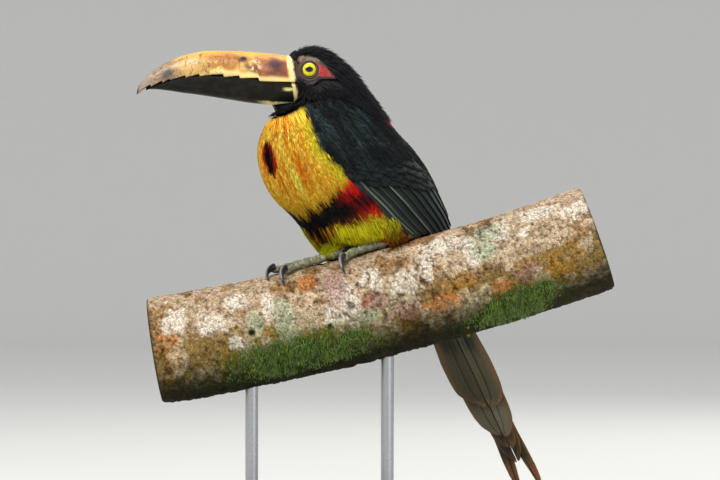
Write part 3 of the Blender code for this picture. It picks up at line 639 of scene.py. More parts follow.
def markings(colours, station, angle, jitter=0.0):
    """The plumage's colours at a station and an angle; jitter shifts each feather past the edges of a patch.

    Every patch is a smooth step across an edge read from a table; streaks are noise drawn out along the body.
    """
    around = from_back(angle)
    side = np.sign(np.sin(angle)) * 40
    fine = stacked(station * 1.3, around * 0.33 + side)
    broad = stacked(station * 0.9, around * 0.07 + side)
    streak = noise(stacked(station * 0.55, around * 0.42 + side), 3)
    blotch = layered_noise(broad, 11, 2)
    rag = 0.14 * noise(fine, 5) + 0.13 * jitter

    hood = tone(colours.hood) * (1 + 0.5 * step(0.2, 1.0, noise(fine * 1.5, 8)))[..., None]
    # Painted highlight: the crown and nape are lightened towards blue-grey, a painted sheen on the black
    # hood.
    hood = mix(hood, "#24242C", step(70, 35, around) * (0.35 + 0.35 * streak))
    back = mix(colours.back, "#222F2F", step(-0.1, 0.9, blotch + 0.4 * streak))
    back = mix(back, "#0A0E0F", step(0.2, 0.9, -blotch + 0.5 * jitter))
    # Painted highlight: blue-grey streaks of sheen on the shoulder feathers, fading out towards the back.
    back = mix(back, "#3E4E54",
               0.75 * step(0.35, 1.1, 0.7 * blotch + 0.6 * streak + 0.6 * jitter) * step(9.5, 7, station))
    past_hood = station + 0.5 * rag - read(HOOD_EDGE, around)
    collar = step(-0.1, 0.0, past_hood) * step(0.28, 0.12, past_hood) * step(48, 34, around)
    dark = mix(back, "#C23A1E", collar)
    rump = step(11.5, 11.9, station + rag) * step(72, 50, around + 6 * jitter)
    dark = mix(dark, colours.red, rump)

    warm = np.clip(0.45 + 0.5 * streak + 0.25 * jitter, 0, 1)
    silk = noise(stacked(station * 1.1, around * 1.6 + side), 4)
    yellow = mix(colours.breast, colours.pale, np.clip(1 - warm + 0.35 * silk, 0, 1))
    yellow = yellow * (1 + 0.16 * silk)[..., None]
    flush = np.exp(-(((station - 4.8) / 0.5) ** 2 + ((around - 163) / 14) ** 2))
    flush += 0.75 * np.exp(-(((station - 6.6) / 0.75) ** 2 + ((around - 147) / 8) ** 2))
    flush += 0.8 * np.exp(-(((station - 6.4) / 1.5) ** 2 + ((around - 171) / 6) ** 2))
    flush += 0.2 * np.exp(-(((station - 5.4) / 1.2) ** 2 + ((around - 155) / 18) ** 2))
    flush += 0.2 * step(7.0, 7.8, station) * step(8.4, 7.9, station) * step(150, 130, around)
    yellow = mix(yellow, colours.flame, np.clip(flush * (0.45 + 0.9 * streak + 0.5 * jitter), 0, 0.85))
    lime = step(14, 2, around - read(YELLOW_SIDE, station) + 3 * jitter) * step(3.9, 5.0, station)
    yellow = mix(yellow, "#E8DC30", 0.8 * lime)
    yellow = mix(yellow, "#DCB21A", 0.75 * step(7.2, 8.4, station + 0.3 * blotch))
    belly = mix(colours.belly, "#A89A06", step(0, 1, streak + 0.3 * jitter))
    belly = mix(belly, "#EEE440", 0.5 * step(0.1, 0.9, -streak + 0.4 * jitter))
    yellow = mix(yellow, belly, step(8.7, 9.1, station))

    spot_width = 6.5 * np.clip(1 - ((station - 6.12) / 0.85) ** 2, 0, 1) + 0.01
    from_spot = (180 - around + 2.2 * jitter) / spot_width
    in_spot = step(5.2, 5.45, station + rag) * step(7.0, 6.8, station + rag)
    yellow = mix(yellow, "#B8240A", step(2.0, 1.2, from_spot) * in_spot)
    yellow = mix(yellow, "#0C0708", step(1.15, 0.7, from_spot) * in_spot)

    place = station + rag * 1.3
    upper, lower = read(BAND_UPPER, around), read(BAND_LOWER, around)
    band = step(-0.12, 0.12, place - upper) * step(0.12, -0.12, place - lower)
    fringe = step(-0.42, -0.1, place - upper) * step(0.22, 0.04, place - lower)
    flank = step(139, 117, around + 7 * jitter)
    glow = np.clip(flank * (0.75 + 0.9 * noise(fine * 1.2, 17)) - 0.15, 0, 1)
    core = mix("#020203", "#8C0807", glow)
    hot = flank * step(0.55, 0.2, place - upper)
    hot = hot + 0.9 * flank * step(-0.5, -0.12, place - lower) * (place < lower)
    core = mix(core, colours.red, np.clip(hot * (1.1 + 0.5 * jitter), 0, 1))
    edge = mix("#8E1A06", "#E83410", flank)
    fringe_share = np.where(place < upper, 0.15 + 0.75 * flank, 0.85)
    yellow = mix(yellow, edge, np.clip(fringe * fringe_share, 0, 1))
    yellow = mix(yellow, core, band)
    thigh_edge = 9.7 + 0.0314 * (around - 104.5)
    thigh = step(-0.15, 0.2, station + rag - thigh_edge) * step(12.0, 11.3, station) * step(136, 127, around)
    yellow = mix(yellow, colours.chestnut, thigh)

    plain = mix(dark, yellow, step(-1.6, 1.6, around - read(YELLOW_SIDE, station) + 2.2 * jitter))
    return mix(hood, plain, step(-0.08, 0.08, past_hood + 0.5 * rag))


# Outlines on the side of the face, in millimetres back from the eye's centre and up from it, anticlockwise.
ROUND_THE_EYE = (
    (-9.6, -6.8), (-4.0, -8.2), (2.0, -8.0), (5.8, -5.0), (6.4, 3.0), (4.6, 6.8), (0.5, 8.6), (-9.6, 7.8),
)
BEHIND_THE_EYE = ((0.0, -4.8), (15.6, -5.0), (16.1, -4.2), (10.2, 2.0), (4.6, 6.2), (-2.0, 6.6))
RED_SKIN = ((5.0, -3.6), (15.5, -4.3), (9.8, 1.5), (3.2, 5.6))


def outline_sides(corners):
    """An outline's unit normals, pointing out, and its corners."""
    corners = np.asarray(corners, float)
    side = np.roll(corners, -1, 0) - corners
    return unit(stacked(side[:, 1], -side[:, 0])), corners


def outside(places, corners):
    """How far places lie outside a convex outline: the largest distance over its sides, negative inside."""
    normal, corners = outline_sides(corners)
    return ((places[..., None, :] - corners) * normal).sum(-1).max(-1)


def reach_of(direction, corners):
    """How far an outline's edge lies from the eye's centre along each direction."""
    normal, corners = outline_sides(corners)
    facing = direction @ normal.T
    return np.where(facing > 1e-3, (normal * corners).sum(-1) / np.maximum(facing, 1e-3), 1e3).min(-1)


def from_eye_centre(point):
    return stacked(point[..., 0] - EYE_X, point[..., 2] - EYE_Z) / MM


def bare_face(point):
    """How much of a place on the head is bare skin: a patch round the eye joined to a wedge behind it."""
    place = from_eye_centre(point)
    return step(0.5, -0.3, np.minimum(outside(place, ROUND_THE_EYE), outside(place, BEHIND_THE_EYE)))


def unwrap(station, angle):
    """Places on the skin's own unwrap, spread to fill the unit square but for a thin border."""
    turn = (angle + math.pi) % TAU
    spread = [(value - value.min()) / max(np.ptp(value), 1e-9) for value in (turn, station)]
    return 0.005 + 0.985 * np.stack(spread, -1)


def rows_of_roots(start, end, angle_start, angle_end, row_spacing, spacing, seed):
    """Roots in staggered rows: even steps along the body and round each row, both shaken a little."""
    rng = np.random.default_rng(seed)
    middle = 0.5 * (angle_start + angle_end)
    fine = np.linspace(start, end, 400)
    run = plumage_frame(fine, np.full_like(fine, middle))[2]
    distance = np.concatenate([[0], np.cumsum((run[1:] + run[:-1]) / 2 * np.diff(fine))])
    rows = np.interp(np.arange(0, distance[-1], row_spacing), distance, fine)
    turn = np.linspace(angle_start, angle_end, 90)
    width = plumage_frame(rows[:, None] + 0 * turn, turn + 0 * rows[:, None])[3]
    girth = np.concatenate([np.zeros((len(rows), 1)), np.cumsum((width[:, 1:] + width[:, :-1]) / 2, 1)], 1)
    girth *= turn[1] - turn[0]
    counts = np.maximum((girth[:, -1] / spacing).astype(int), 1)
    row = np.repeat(np.arange(len(rows)), counts)
    order = np.arange(counts.sum()) - np.repeat(np.cumsum(counts) - counts, counts)
    wanted = (order + 0.5 * (row % 2) + 0.25 + rng.uniform(-0.32, 0.32, len(row))) / counts[row]
    gap = rows[np.minimum(row + 1, len(rows) - 1)] - rows[row]
    station = rows[row] + rng.uniform(-0.5, 0.5, len(row)) * gap
    high = np.minimum((wanted[:, None] > girth[row] / girth[row, -1:]).sum(1), len(turn) - 1)
    low = np.maximum(high - 1, 0)
    share_low, share_high = girth[row, low] / girth[row, -1], girth[row, high] / girth[row, -1]
    f = (wanted - share_low) / np.maximum(share_high - share_low, 1e-9)
    angle = turn[low] + np.clip(f, 0, 1) * (turn[high] - turn[low])
    return np.clip(station, 0, len(SECTIONS) - 1.2), angle, rng


STRAND_PLACES = np.array((0.0, 0.36, 0.72, 1.0))
STRAND_SIZES = np.array((0.75, 1.0, 0.72, 0.0))
STRAND_LEVELS = np.concatenate([np.repeat(STRAND_PLACES[:3], 3), [1.0]])  # of a strand's points
# Three rings of three points, then the tip.
STRAND_FACES = [
    np.array(
        [(0, 2, 1)]
        + [(3 * k + i, 3 * k + (i + 1) % 3, 3 * k + 3 + (i + 1) % 3) for k in range(2) for i in range(3)]
        + [(3 * k + i, 3 * k + 3 + (i + 1) % 3, 3 * k + 3 + i) for k in range(2) for i in range(3)]
        + [(6 + i, 6 + (i + 1) % 3, 9) for i in range(3)]
    )
]
PATCH = 0.003  # of the unit square, that one feather takes on the unwrap


def strand_points(path, normals, width, thick):
    """Points of strands from their paths: a flat triangle across each, shrinking to a point at the tip."""
    across = unit(np.cross(normals, unit(np.gradient(path, axis=1))))
    half = (0.5 * width[:, None] * STRAND_SIZES)[..., None]
    rings = np.stack([path - across * half, path + across * half, path + normals * half * thick * 2], 2)
    return np.concatenate([rings[:, :3].reshape(len(path), 9, 3), path[:, 3:4]], 1)


def add_strand_mesh(name, path, normals, width, thick, root, tint, material):
    """One piece of closed strands; each takes a small patch of the unwrap at its root's place."""
    vertices, faces = joined(strand_points(path, normals, width, thick), STRAND_FACES)
    patch = stacked(np.concatenate([np.tile((0.0, 1.0, 0.5), 3), [0.5]]), STRAND_LEVELS) * PATCH
    return add_piece(name, vertices, faces, material, tint=tint, maps={"OFBake": root[:, None] + patch})


def add_strands(
    name, station, angle, rng, length, width, material, colours,
    proud=0.5 * MM, lift=0.0, clump=0.35, wander=0.1, thick=0.4, vary=0.12, near_feet=False,
):
    """A coat of strands lying along the body.

    Each strand's path keeps to the plumage's surface. It rises from the skin to its tip as a power of the
    distance along it, and its tip is drawn sideways to the middle of its lock.
    """
    count = len(station)
    length = np.broadcast_to(length, count) * rng.uniform(0.8, 1.2, count)
    width = np.broadcast_to(width, count) * rng.uniform(0.75, 1.25, count)
    proud = proud + rng.uniform(-0.35, 0.35, count) * MM
    jitter = rng.uniform(-1, 1, count)
    span = plumage_frame(station, angle)[3]
    lock = 3.6 * MM / span
    lock_middle = (np.floor(angle / lock) + 0.5) * lock
    drawn = clump * (lock_middle - angle) + wander * lock * rng.uniform(-1, 1, count)
    drawn += 1.4 * clump * lock * noise(stacked(station * 0.8, angle * 3.2), 23)
    path, normals = [], []
    place = station.copy()
    last = 0.0
    for s in STRAND_PLACES:
        pace = plumage_frame(place, angle)[2]
        place = np.minimum(place + (s - last) * length / np.maximum(pace, 3 * MM), len(SECTIONS) - 1.02)
        last = s
        turned = angle + drawn * s**1.5
        normal = plumage_frame(place, turned)[0]
        height = -SKIN_DEPTH * 0.95 * (1 - s) ** 1.4 + (proud + lift * s) * s
        normals.append(normal)
        point = plumage(place, turned) + normal * height[..., None]
        clear = clear_of_feet if near_feet else clear_of_perch
        path.append(clear(point, 0.6 * MM * (0.4 + s)))
    shown = station + 0.6 * (place - station)  # the part of a strand that those in front of it leave bare
    tint = markings(colours, shown, angle, jitter)
    # Painted shade: each strand darkens towards its root, where the strands above lie over it.
    tint = tint[:, None, :] * (0.78 + 0.3 * STRAND_LEVELS**0.7)[None, :, None]
    tint = tint * (1 + vary * rng.uniform(-1, 1, count))[:, None, None]
    return add_strand_mesh(
        name, np.stack(path, 1), np.stack(normals, 1), width, thick, unwrap(station, angle), tint,
        material
    )


def add_tufts(name, root, tip, bow, width, rng, colour, material, place, thick=0.4):
    """Strands from roots to tips, bowed by a bow vector times four times the product of both shares."""
    count = len(root)
    s = STRAND_PLACES[None, :, None]
    path = root[:, None] * (1 - s) + tip[:, None] * s + bow[:, None] * (4 * s * (1 - s))
    normals = np.repeat(unit(bow)[:, None], len(STRAND_PLACES), 1)
    width = width * rng.uniform(0.75, 1.25, count)
    # Painted shade: each tuft darkens towards its root, where the others lie over it.
    tint = colour[:, None, :] * (0.7 + 0.4 * STRAND_LEVELS**0.7)[None, :, None]
    tint = tint * (1 + 0.15 * rng.uniform(-1, 1, count))[:, None, None]
    place = 0.005 + 0.985 * (place - place.min(0)) / np.ptp(place, axis=0)
    return add_strand_mesh(name, path, normals, width, thick, place, tint, material)


def near_face(station, angle):
    """Which places on the head are bare."""
    return bare_face(plumage(station, angle)) * (station < 4)


class AddSkin(bpy.types.Operator):
    """Make the one skin under all the feathers of head, neck, trunk and rump."""

    bl_idname = "aracari.skin"
    bl_label = "Skin"

    def execute(self, context):
        colours = context.scene.aracari_plumage
        stations = np.concatenate([np.linspace(0, 5, 150), np.linspace(5, RUMP_END, 180)[1:]])
        angles = np.linspace(0, TAU, 180, endpoint=False)
        grid, turn = np.meshgrid(stations, angles, indexing="ij")
        normal = plumage_frame(grid, turn)[0]
        depth = SKIN_DEPTH * (0.6 + 0.4 * step(0, 1.2, grid))
        points = plumage(grid, turn) - normal * depth[..., None]
        points = clear_of_perch(points, 0.8 * MM, 7.2 * MM)
        material, tree, shader = new_material(
            "skin_with_down", Roughness=0.75, Sheen_Weight=0.1, Specular_IOR_Level=0.25
        )  # bird skin under short down, grown: matt and dark between the feathers
        down = patterned(tree, shader, object_noise(tree, 1100, 3), 0.6, 1.1, 0.35)
        bumped(tree, shader, down, 0.6, 0.0004)
        solids = ("head", "neck", "trunk", "rump")
        # Painted shade: the skin takes the plumage's colours at half strength, so the gaps between the
        # feathers look shaded.
        add_tube("skin", points, material, solids, markings(colours, grid, turn) * 0.5)
        return {"FINISHED"}


def add_forehead(colours, material):
    """Short strands rooted over the bill's root, steepest at the front and lying back towards the crown."""
    rng = np.random.default_rng(colours.seed + 2)
    count = 520
    turn = np.radians(rng.uniform(-34, 34, count))
    ahead = 2.4 * MM * (1 - (turn / math.radians(36)) ** 2) * (1 - rng.uniform(0, 1, count) ** 1.4) - 0.8 * MM
    x, culmen, edge, _, width = bill_ring(ahead / (BILL_ROOT - BILL_TIP))
    across = width * np.sign(turn) * np.abs(np.sin(turn)) ** 0.8
    height = edge + (culmen - edge) * np.cos(turn) ** 0.9 - 0.3 * MM
    root = stacked(x, HEAD_Y - across, height)
    pitch = np.radians(28 + 16 * ahead / (2 * MM)) * np.cos(turn)
    length = rng.uniform(4.2, 6.2, count) * (1 - 0.5 * (turn / math.radians(36)) ** 2) * MM
    out = stacked(0 * turn, -np.sin(turn), np.cos(turn))
    back = np.array((1.0, 0.0, 0.0))
    tip = root + length[:, None] * (np.cos(pitch)[:, None] * back + np.sin(pitch)[:, None] * out)
    tip = tip + 0.5 * MM * rng.uniform(-1, 1, (count, 3))
    colour = np.repeat(tone(colours.hood)[None], count, 0) * 1.25
    add_tufts("feathers_forehead", root, tip, out * 0.55 * MM, 0.75 * MM, rng, colour, material,
              stacked(turn, ahead))


def add_chin(colours, material):
    """Short strands rooted under the lower bill's root, lying back along the throat."""
    rng = np.random.default_rng(colours.seed + 3)
    count = 1700
    turn = np.radians(rng.uniform(-26, 26, count))
    ahead = (-2 + 14 * rng.uniform(0, 1, count) * (1 - (turn / math.radians(30)) ** 2)) * MM
    x, _, edge, keel, width = bill_ring(ahead / (BILL_ROOT - BILL_TIP))
    across = 0.965 * width * np.sign(turn) * np.abs(np.sin(turn)) ** 0.8
    height = edge - 1.9 * MM - (edge - 1.9 * MM - keel) * np.cos(turn) + 0.2 * MM
    root = stacked(x, HEAD_Y - across, height)
    out = stacked(0 * turn, -np.sin(turn), -np.cos(turn))
    pitch = np.radians(30 + 28 * np.clip(ahead / (12 * MM), 0, 1) + rng.uniform(-7, 7, count))
    length = rng.uniform(6.5, 9.0, count) * MM
    back = np.array((1.0, 0.0, 0.0))
    tip = root + length[:, None] * (np.cos(pitch)[:, None] * back + np.sin(pitch)[:, None] * out)
    colour = np.repeat(tone(colours.hood)[None], count, 0)
    add_tufts("feathers_chin", root, tip, out * 0.3 * MM, 0.7 * MM, rng, colour, material,
              stacked(turn, ahead))


class AddHood(bpy.types.Operator):
    """Cover crown, nape, cheeks, forehead and chin with pointed black strands."""

    bl_idname = "aracari.hood"
    bl_label = "Hood"

    def execute(self, context):
        colours = context.scene.aracari_plumage
        material = plumage_material("hood_feather_keratin", 0.5, 0.02, 0.22)
        right = math.radians(78)
        for name, end, low, high, rows, spacing, seed in (
            ("feathers_crown", 5.0, -right, right, 1.2 * MM, 0.85 * MM, 0),
            ("feathers_cheek", 4.4, right, TAU - right, 0.42 * MM, 0.8 * MM, 1),
        ):
            station, angle, rng = rows_of_roots(0.02, end, low, high, rows, spacing, colours.seed + seed)
            growth = step(0.0, 3.2, station)
            crown = step(105, 70, from_back(angle))
            length = (3.8 + 5.2 * growth + (1.9 + 2.6 * growth) * crown) * MM
            edge = read(HOOD_EDGE, from_back(angle))
            to_edge = edge - station - length / plumage_frame(station, angle)[2]
            ragged = -0.1 + 0.12 * rng.uniform(-1, 1, len(station))
            keep = (near_face(station, angle) < 0.35) & (to_edge > ragged)
            station, angle, length = station[keep], angle[keep], length[keep]
            growth, crown, to_edge = growth[keep], crown[keep], to_edge[keep]
            overhang = step(0.9, 0.0, to_edge) * MM
            loose = crown * step(0.6, 0.96, rng.uniform(0, 1, len(station))) * MM
            add_strands(
                name, station, angle, rng, length, (0.78 + 0.42 * growth) * MM, material,
                colours, proud=0.3 * MM + 0.1 * MM * crown + 0.7 * overhang,
                lift=(0.2 + 0.3 * crown) * MM + 1.4 * loose,
                clump=0.4, wander=0.25, thick=0.35, vary=0.3,
            )
        add_forehead(colours, material)
        add_chin(colours, material)
        return {"FINISHED"}


def add_leg_feathers(foot, side, colours, material):
    """Strands round the leg: their roots on a cone that opens upwards, their tips close to the toes."""
    rng = np.random.default_rng(colours.seed + 35 + side)
    count = 1300
    turn = rng.uniform(-math.pi, 0, count) if foot == "left" else rng.uniform(0, TAU, count)
    rise = rng.uniform(6, 24, count) * MM
    fall = np.maximum(rise - rng.uniform(11, 16, count) * MM, rng.uniform(0.4, 1.6, count) * MM)
    start = on_perch(np.array(FEET[foot][0] * MM), np.array(math.radians(FEET[foot][1])), np.array(0.8 * MM))
    start = start + ((-3.5 if foot == "left" else -1.4) * MM, 0, 0)
    wide = np.array((6.0, 7.4) if foot == "left" else (2.6, 3.3)) * MM
    lean = np.array((*LEG_LEAN[foot], 0.0))
    out = stacked(np.cos(turn), np.sin(turn), 0 * turn)

    def at(height, wide):
        share = height / LEG_RISE
        axis = start + height[:, None] * (0, 0, 1) + LEG_RISE * share[:, None] ** 2.2 * lean
        return axis + out * (wide + 0.3 * height)[:, None]

    root, tip = at(rise, wide[0]), clear_of_perch(at(fall, wide[1]), 0.8 * MM)
    share = rng.uniform(0, 1, count)
    streak = noise(stacked(turn * 2.6, rise * 60), 36)
    if foot == "right":
        colour = mix(colours.belly, "#7C8206",
                     np.clip(0.35 + 0.8 * streak + 0.5 * (share - 0.5), 0, 1))
    else:
        colour = mix(colours.chestnut, "#A88A14", step(0.7, 1, share))
        colour = mix(colour, "#3A120A", np.clip(0.9 * streak, 0, 0.7))
    add_tufts("feathers_leg_" + foot, root, tip, out * 0.25 * MM, 1.0 * MM, rng, colour, material,
              stacked(turn, rise))


def add_skirt(foot, side, colours, material):
    """Loose strands along the foot of the belly, hanging down and back until they meet the bark."""
    rng = np.random.default_rng(colours.seed + 38 + side)
    count = 2000
    station = rng.uniform(9.2, 11.6, count)
    angle = side * np.radians(rng.uniform(104, 180, count))
    normal, along, _, _ = plumage_frame(station, angle)
    root = clear_of_perch(plumage(station, angle) - normal * 0.8 * MM, 0.5 * MM)
    drop = rng.uniform(1, 4.5, count) * MM
    reach = rng.uniform(8, 12, count) * MM
    tip = root + along * reach[:, None] + drop[:, None] * (0, 0, -1)
    tip = clear_of_feet(tip + normal * 0.3 * MM, 0.35 * MM)
    shown = station + 0.5 * reach / plumage_frame(station, angle)[2]
    colour = markings(colours, shown, angle, rng.uniform(-1, 1, count))
    add_tufts("feathers_skirt_" + foot, root, tip, normal * 0.4 * MM, 1.0 * MM, rng, colour, material,
              stacked(angle, station))


def add_thigh(foot, side, colours, material):
    """Chestnut strands that hang from below the wing's rim over the root of the hind toe."""
    rng = np.random.default_rng(colours.seed + 48 + side)
    count = 1100
    station = rng.triangular(9.4, 10.2, 10.9, count)
    around = rng.triangular(102, 111, 120, count)
    normal, _, _, _ = plumage_frame(station, side * np.radians(around))
    root = plumage(station, side * np.radians(around)) - normal * 1.1 * MM
    fall = unit(np.array((0.3, -0.2 * side, -0.93)) + 0.14 * rng.uniform(-1, 1, (count, 3)))
    fall = fall * rng.uniform(4.5, 9, count)[:, None] * MM
    tip = clear_of_perch(root + fall + normal * 0.8 * MM, 0.5 * MM)
    streak = noise(stacked(around * 0.9, station * 2), 49)
    share = np.clip(0.55 + 0.8 * streak + 0.4 * rng.uniform(-1, 1, count), 0, 1)
    colour = mix(colours.chestnut, "#4A180C", share)
    gold = 0.7 * (1 - step(9.5, 10.1, station + 0.25 * rng.uniform(-1, 1, count)))
    colour = mix(colour, tone(colours.belly) * 0.8, gold)
    add_tufts("feathers_thigh_" + foot, root, tip, normal * 0.4 * MM, 0.75 * MM, rng, colour, material,
              stacked(around, station))


class AddBreast(bpy.types.Operator):
    """Cover breast, band and belly with fine silky strands, down to the legs and the branch."""

    bl_idname = "aracari.breast"
    bl_label = "Breast and belly"

    def execute(self, context):
        colours = context.scene.aracari_plumage
        material = plumage_material("breast_feather_keratin", 0.55, 0.02, 0.1)
        for name, start, end, side, seed in (
            ("feathers_breast_left", 3.3, 8.9, 1, 31),
            ("feathers_breast_right", 3.3, 8.9, -1, 32),
            ("feathers_belly_left", 8.0, 12.5, 1, 33),
            ("feathers_belly_right", 8.0, 12.5, -1, 34),
        ):
            low, high = math.radians(88 if start == 8 else 108), math.pi
            station, angle, rng = rows_of_roots(
                start, end, low, high, colours.row_spacing, 0.58 * MM, colours.seed + seed
            )
            around = np.degrees(angle)
            keep = around > read(YELLOW_SIDE, station) - np.where(station < 6.4, 8, 2)
            keep &= station > read(HOOD_EDGE, around) - 0.75
            station, angle = station[keep], side * angle[keep]
            add_strands(
                name, station, angle, rng, colours.strand_length * 1.15, colours.strand_width, material,
                colours, proud=(0.4 if start < 8 else 0.15) * MM, lift=0.2 * MM, clump=0.2,
                wander=0.1, near_feet=start == 8,
            )
        for foot, side in SIDES:
            add_leg_feathers(foot, side, colours, material)
            add_skirt(foot, side, colours, material)
            add_thigh(foot, side, colours, material)
        return {"FINISHED"}


# A vane: a grid of 6 places along it and 5 across, its upper and lower sheets meeting at the rim.
VANE_ROWS, VANE_COLUMNS = 6, 5


def pillow_faces(rows, columns):
    """Local faces of two sheets that share their rim: the upper grid whole, the lower with its own inside."""
    upper = np.arange(rows * columns).reshape(rows, columns)
    lower = upper.copy()
    inside = (rows - 2) * (columns - 2)
    lower[1:-1, 1:-1] = rows * columns + np.arange(inside).reshape(rows - 2, columns - 2)
    top = stacked(upper[:-1, :-1], upper[:-1, 1:], upper[1:, 1:], upper[1:, :-1]).reshape(-1, 4)
    bottom = stacked(lower[:-1, :-1], lower[1:, :-1], lower[1:, 1:], lower[:-1, 1:]).reshape(-1, 4)
    return [np.concatenate([top, bottom])]


def two_sheets(upper, lower):
    """Values of a stack of vanes: the upper sheets' grids whole, then the insides of the lower sheets'."""
    count, size = len(upper), upper.shape[-1]
    return np.concatenate([upper.reshape(count, -1, size), lower[:, 1:-1, 1:-1].reshape(count, -1, size)], 1)


def add_vanes(
    name, station, angle, length, width, material, tint_of_vane, nodes=(),
    rows=VANE_ROWS, columns=VANE_COLUMNS, base=-1.2 * MM, tip=0.6 * MM, courses=None, widths=None,
    thick=0.35 * MM, camber=0.5 * MM, atlas=False, clearance=0.9 * MM, tilt=0.0,
):
    """Feathers with a flat vane, lying along the body.

    The shaft runs on the plumage's surface from a base height to a tip height. The vane is a rounded outline
    across it, bent down at its edges by the square of the distance from the shaft and tilted up to one side,
    and two sheets meet at its rim. courses gives the shafts' own stations and angles where they don't run
    straight back.
    """
    count = len(station)
    along = np.linspace(0, 1, rows)
    across = np.linspace(-1, 1, columns)
    if courses is None:
        stations, place, last = [], station.copy(), 0.0
        for s in along:
            pace = plumage_frame(place, angle)[2]
            place = np.minimum(place + (s - last) * length / np.maximum(pace, 3 * MM), len(SECTIONS) - 1.02)
            last = s
            stations.append(place)
        stations = np.stack(stations, 1)
        angles = np.repeat(angle[:, None], rows, 1)
    else:
        stations, angles = courses
    if widths is None:
        outline = np.sqrt(np.clip(1 - (2.0 * np.abs(along - 0.46)) ** 2.6, 0.03, 1))
        widths = 0.5 * width[:, None] * outline[None, :]
    span = plumage_frame(stations, angles)[3]
    offset = widths[:, :, None] * across[None, None, :] / span[..., None]
    grid_station = np.repeat(stations[:, :, None], columns, 2)
    grid_station = grid_station - 0.10 * (along[None, :, None] > 0.999) * across[None, None, :] ** 2
    grid_angle = angles[:, :, None] + offset
    normal = plumage_frame(grid_station, grid_angle)[0]
    base, tip = np.broadcast_to(base, count)[:, None, None], np.broadcast_to(tip, count)[:, None, None]
    rise = base + (tip - base) * along[None, :, None] ** 1.2
    height = rise + (tilt * across - camber * across**2)[None, None, :] * np.ones_like(grid_angle)
    upper = clear_of_perch(plumage(grid_station, grid_angle) + normal * height[..., None], clearance)
    body = np.sin(np.pi * np.clip(along, 0.02, 0.98))[None, :, None] * (1 - across**2)[None, None, :]
    lower = upper - normal * (thick * (0.35 + 0.65 * body))[..., None]
    shaft = (along[None, :] * np.reshape(length, (-1, 1)) / MM)[..., None]
    uv = stacked(widths[:, :, None] * across[None, None, :] / MM, shaft)
    tint = tint_of_vane(grid_station, grid_angle, along[None, :, None], across[None, None, :])
    local = stacked(across[None, :] * 0.5 + 0.5, along[:, None])
    if atlas:
        strip = (np.arange(count) / count)[:, None, None, None]
        top = stacked(local[..., 0] * 0.46 / count, local[..., 1])[None]
        bottom = top + np.array((0.48 / count, 0))
        shift = np.concatenate([strip, 0 * strip], -1)
        bake = 0.003 + 0.994 * two_sheets(top + shift, bottom + shift)
    else:
        root = unwrap(station, angle)[:, None, None] + local[None] * PATCH
        bake = two_sheets(root, root)
    vertices, faces = joined(two_sheets(upper, lower), pillow_faces(rows, columns))
    maps = {"OFBake": bake, "Vane": two_sheets(uv, uv)}
    return add_piece(name, vertices, faces, material, nodes, two_sheets(tint, tint), maps)


class WingSettings(bpy.types.PropertyGroup):
    covert_length: length_setting("Covert length", "Length of the largest coverts", 19 * MM, 5 * MM, 40 * MM)
    flight_width: length_setting(
        "Flight feather width", "Width of an outer flight feather", 10 * MM, 4 * MM, 30 * MM)
    edge: colour_setting("Feather edge", "Worn pale edge of a flight feather", "#B4BCA8")


# The flight feathers from the lowest up: where the edge that looks to the belly runs, as a share of the
# wing's breadth from its lower edge; the stations of its start and of its tip; its width, as a share of the
# outer feathers'; how pale that edge is.
FLIGHT_FEATHERS = (
    (0.0, 6.9, 10.3, 1.0, 0.15),
    (0.05, 6.9, 10.9, 1.0, 0.8),
    (0.09, 6.8, 11.3, 1.0, 0.35),
    (0.15, 6.9, 11.5, 1.0, 0.2),
    (0.235, 7.0, 11.6, 1.05, 0.95),
    (0.31, 7.1, 11.55, 1.1, 0.12),
    (0.39, 7.2, 11.3, 1.2, 0.08),
    (0.47, 7.3, 11.0, 1.35, 0.06),
    (0.56, 7.4, 10.7, 1.5, 0.05),
    (0.66, 7.5, 10.4, 1.6, 0.05),
    (0.77, 7.6, 10.1, 1.6, 0.05),
)


def add_flight(side, sign, sizes, material):
    """Each feather's shaft lies half a width above its rim, and each lies over the feather below it."""
    rows, columns = 30, 11
    rim, start, end, wide, pale = np.array(FLIGHT_FEATHERS).T[..., None]
    count = len(rim)
    order = np.linspace(0, 1, count)
    along = np.linspace(0, 1, rows)
    stations = start + (end - start) * along
    upper, lower = wing_edges(stations)
    outline = np.clip(0.6 + 1.5 * along, 0, 1) * np.sqrt(np.clip(1 - along**6, 0.004, 1))
    widths = 0.5 * sizes.flight_width * outline[None, :] * wide
    rim_angles = lower + (upper - lower) * rim
    span = plumage_frame(stations, rim_angles)[3]
    angles = rim_angles - 0.5 * sizes.flight_width * wide / span
    length = np.linalg.norm(np.diff(plumage(stations, angles), axis=1), axis=-1).sum(1)
    shade = np.random.default_rng(51).uniform(0.8, 1.2, count)[:, None, None, None]
    edge = sizes.edge
    paleness = pale[..., None] * np.ones((count, rows, columns))

    def tint(grid_station, grid_angle, place, across):
        outer = across * sign + 0 * grid_station
        barbs = noise(stacked(grid_station * 1.5, outer * 6 + 9 * order[:, None, None]), 52)
        base = mix("#10171A", "#1E2A28",
                   step(-0.6, 0.9, outer + 0.5 * barbs)) * shade
        # Painted shade: the half of each feather that the next feather up lies over is darkened towards
        # black.
        base = mix(base, "#080B0C", 0.7 * step(-0.1, -0.7, outer))
        rim_line = step(0.7, 0.95, outer) * step(0.08, 0.3, place) * (0.75 + 0.4 * barbs)
        return mix(base, edge, np.clip(rim_line * paleness * (0.9 + 0.3 * barbs), 0, 1))

    stack = 0.2 * MM + 0.6 * MM * order
    add_vanes(
        "flight_feathers_" + side, stations[:, 0], sign * angles[:, 0], length, None, material,
        tint, ("wing_" + side,), rows, columns, 0.4 * stack - 1.6 * MM, stack + 0.2 * MM,
        (stations, sign * angles), widths, 0.35 * MM, 0.08 * MM, True, tilt=0.5 * MM * sign,
    )


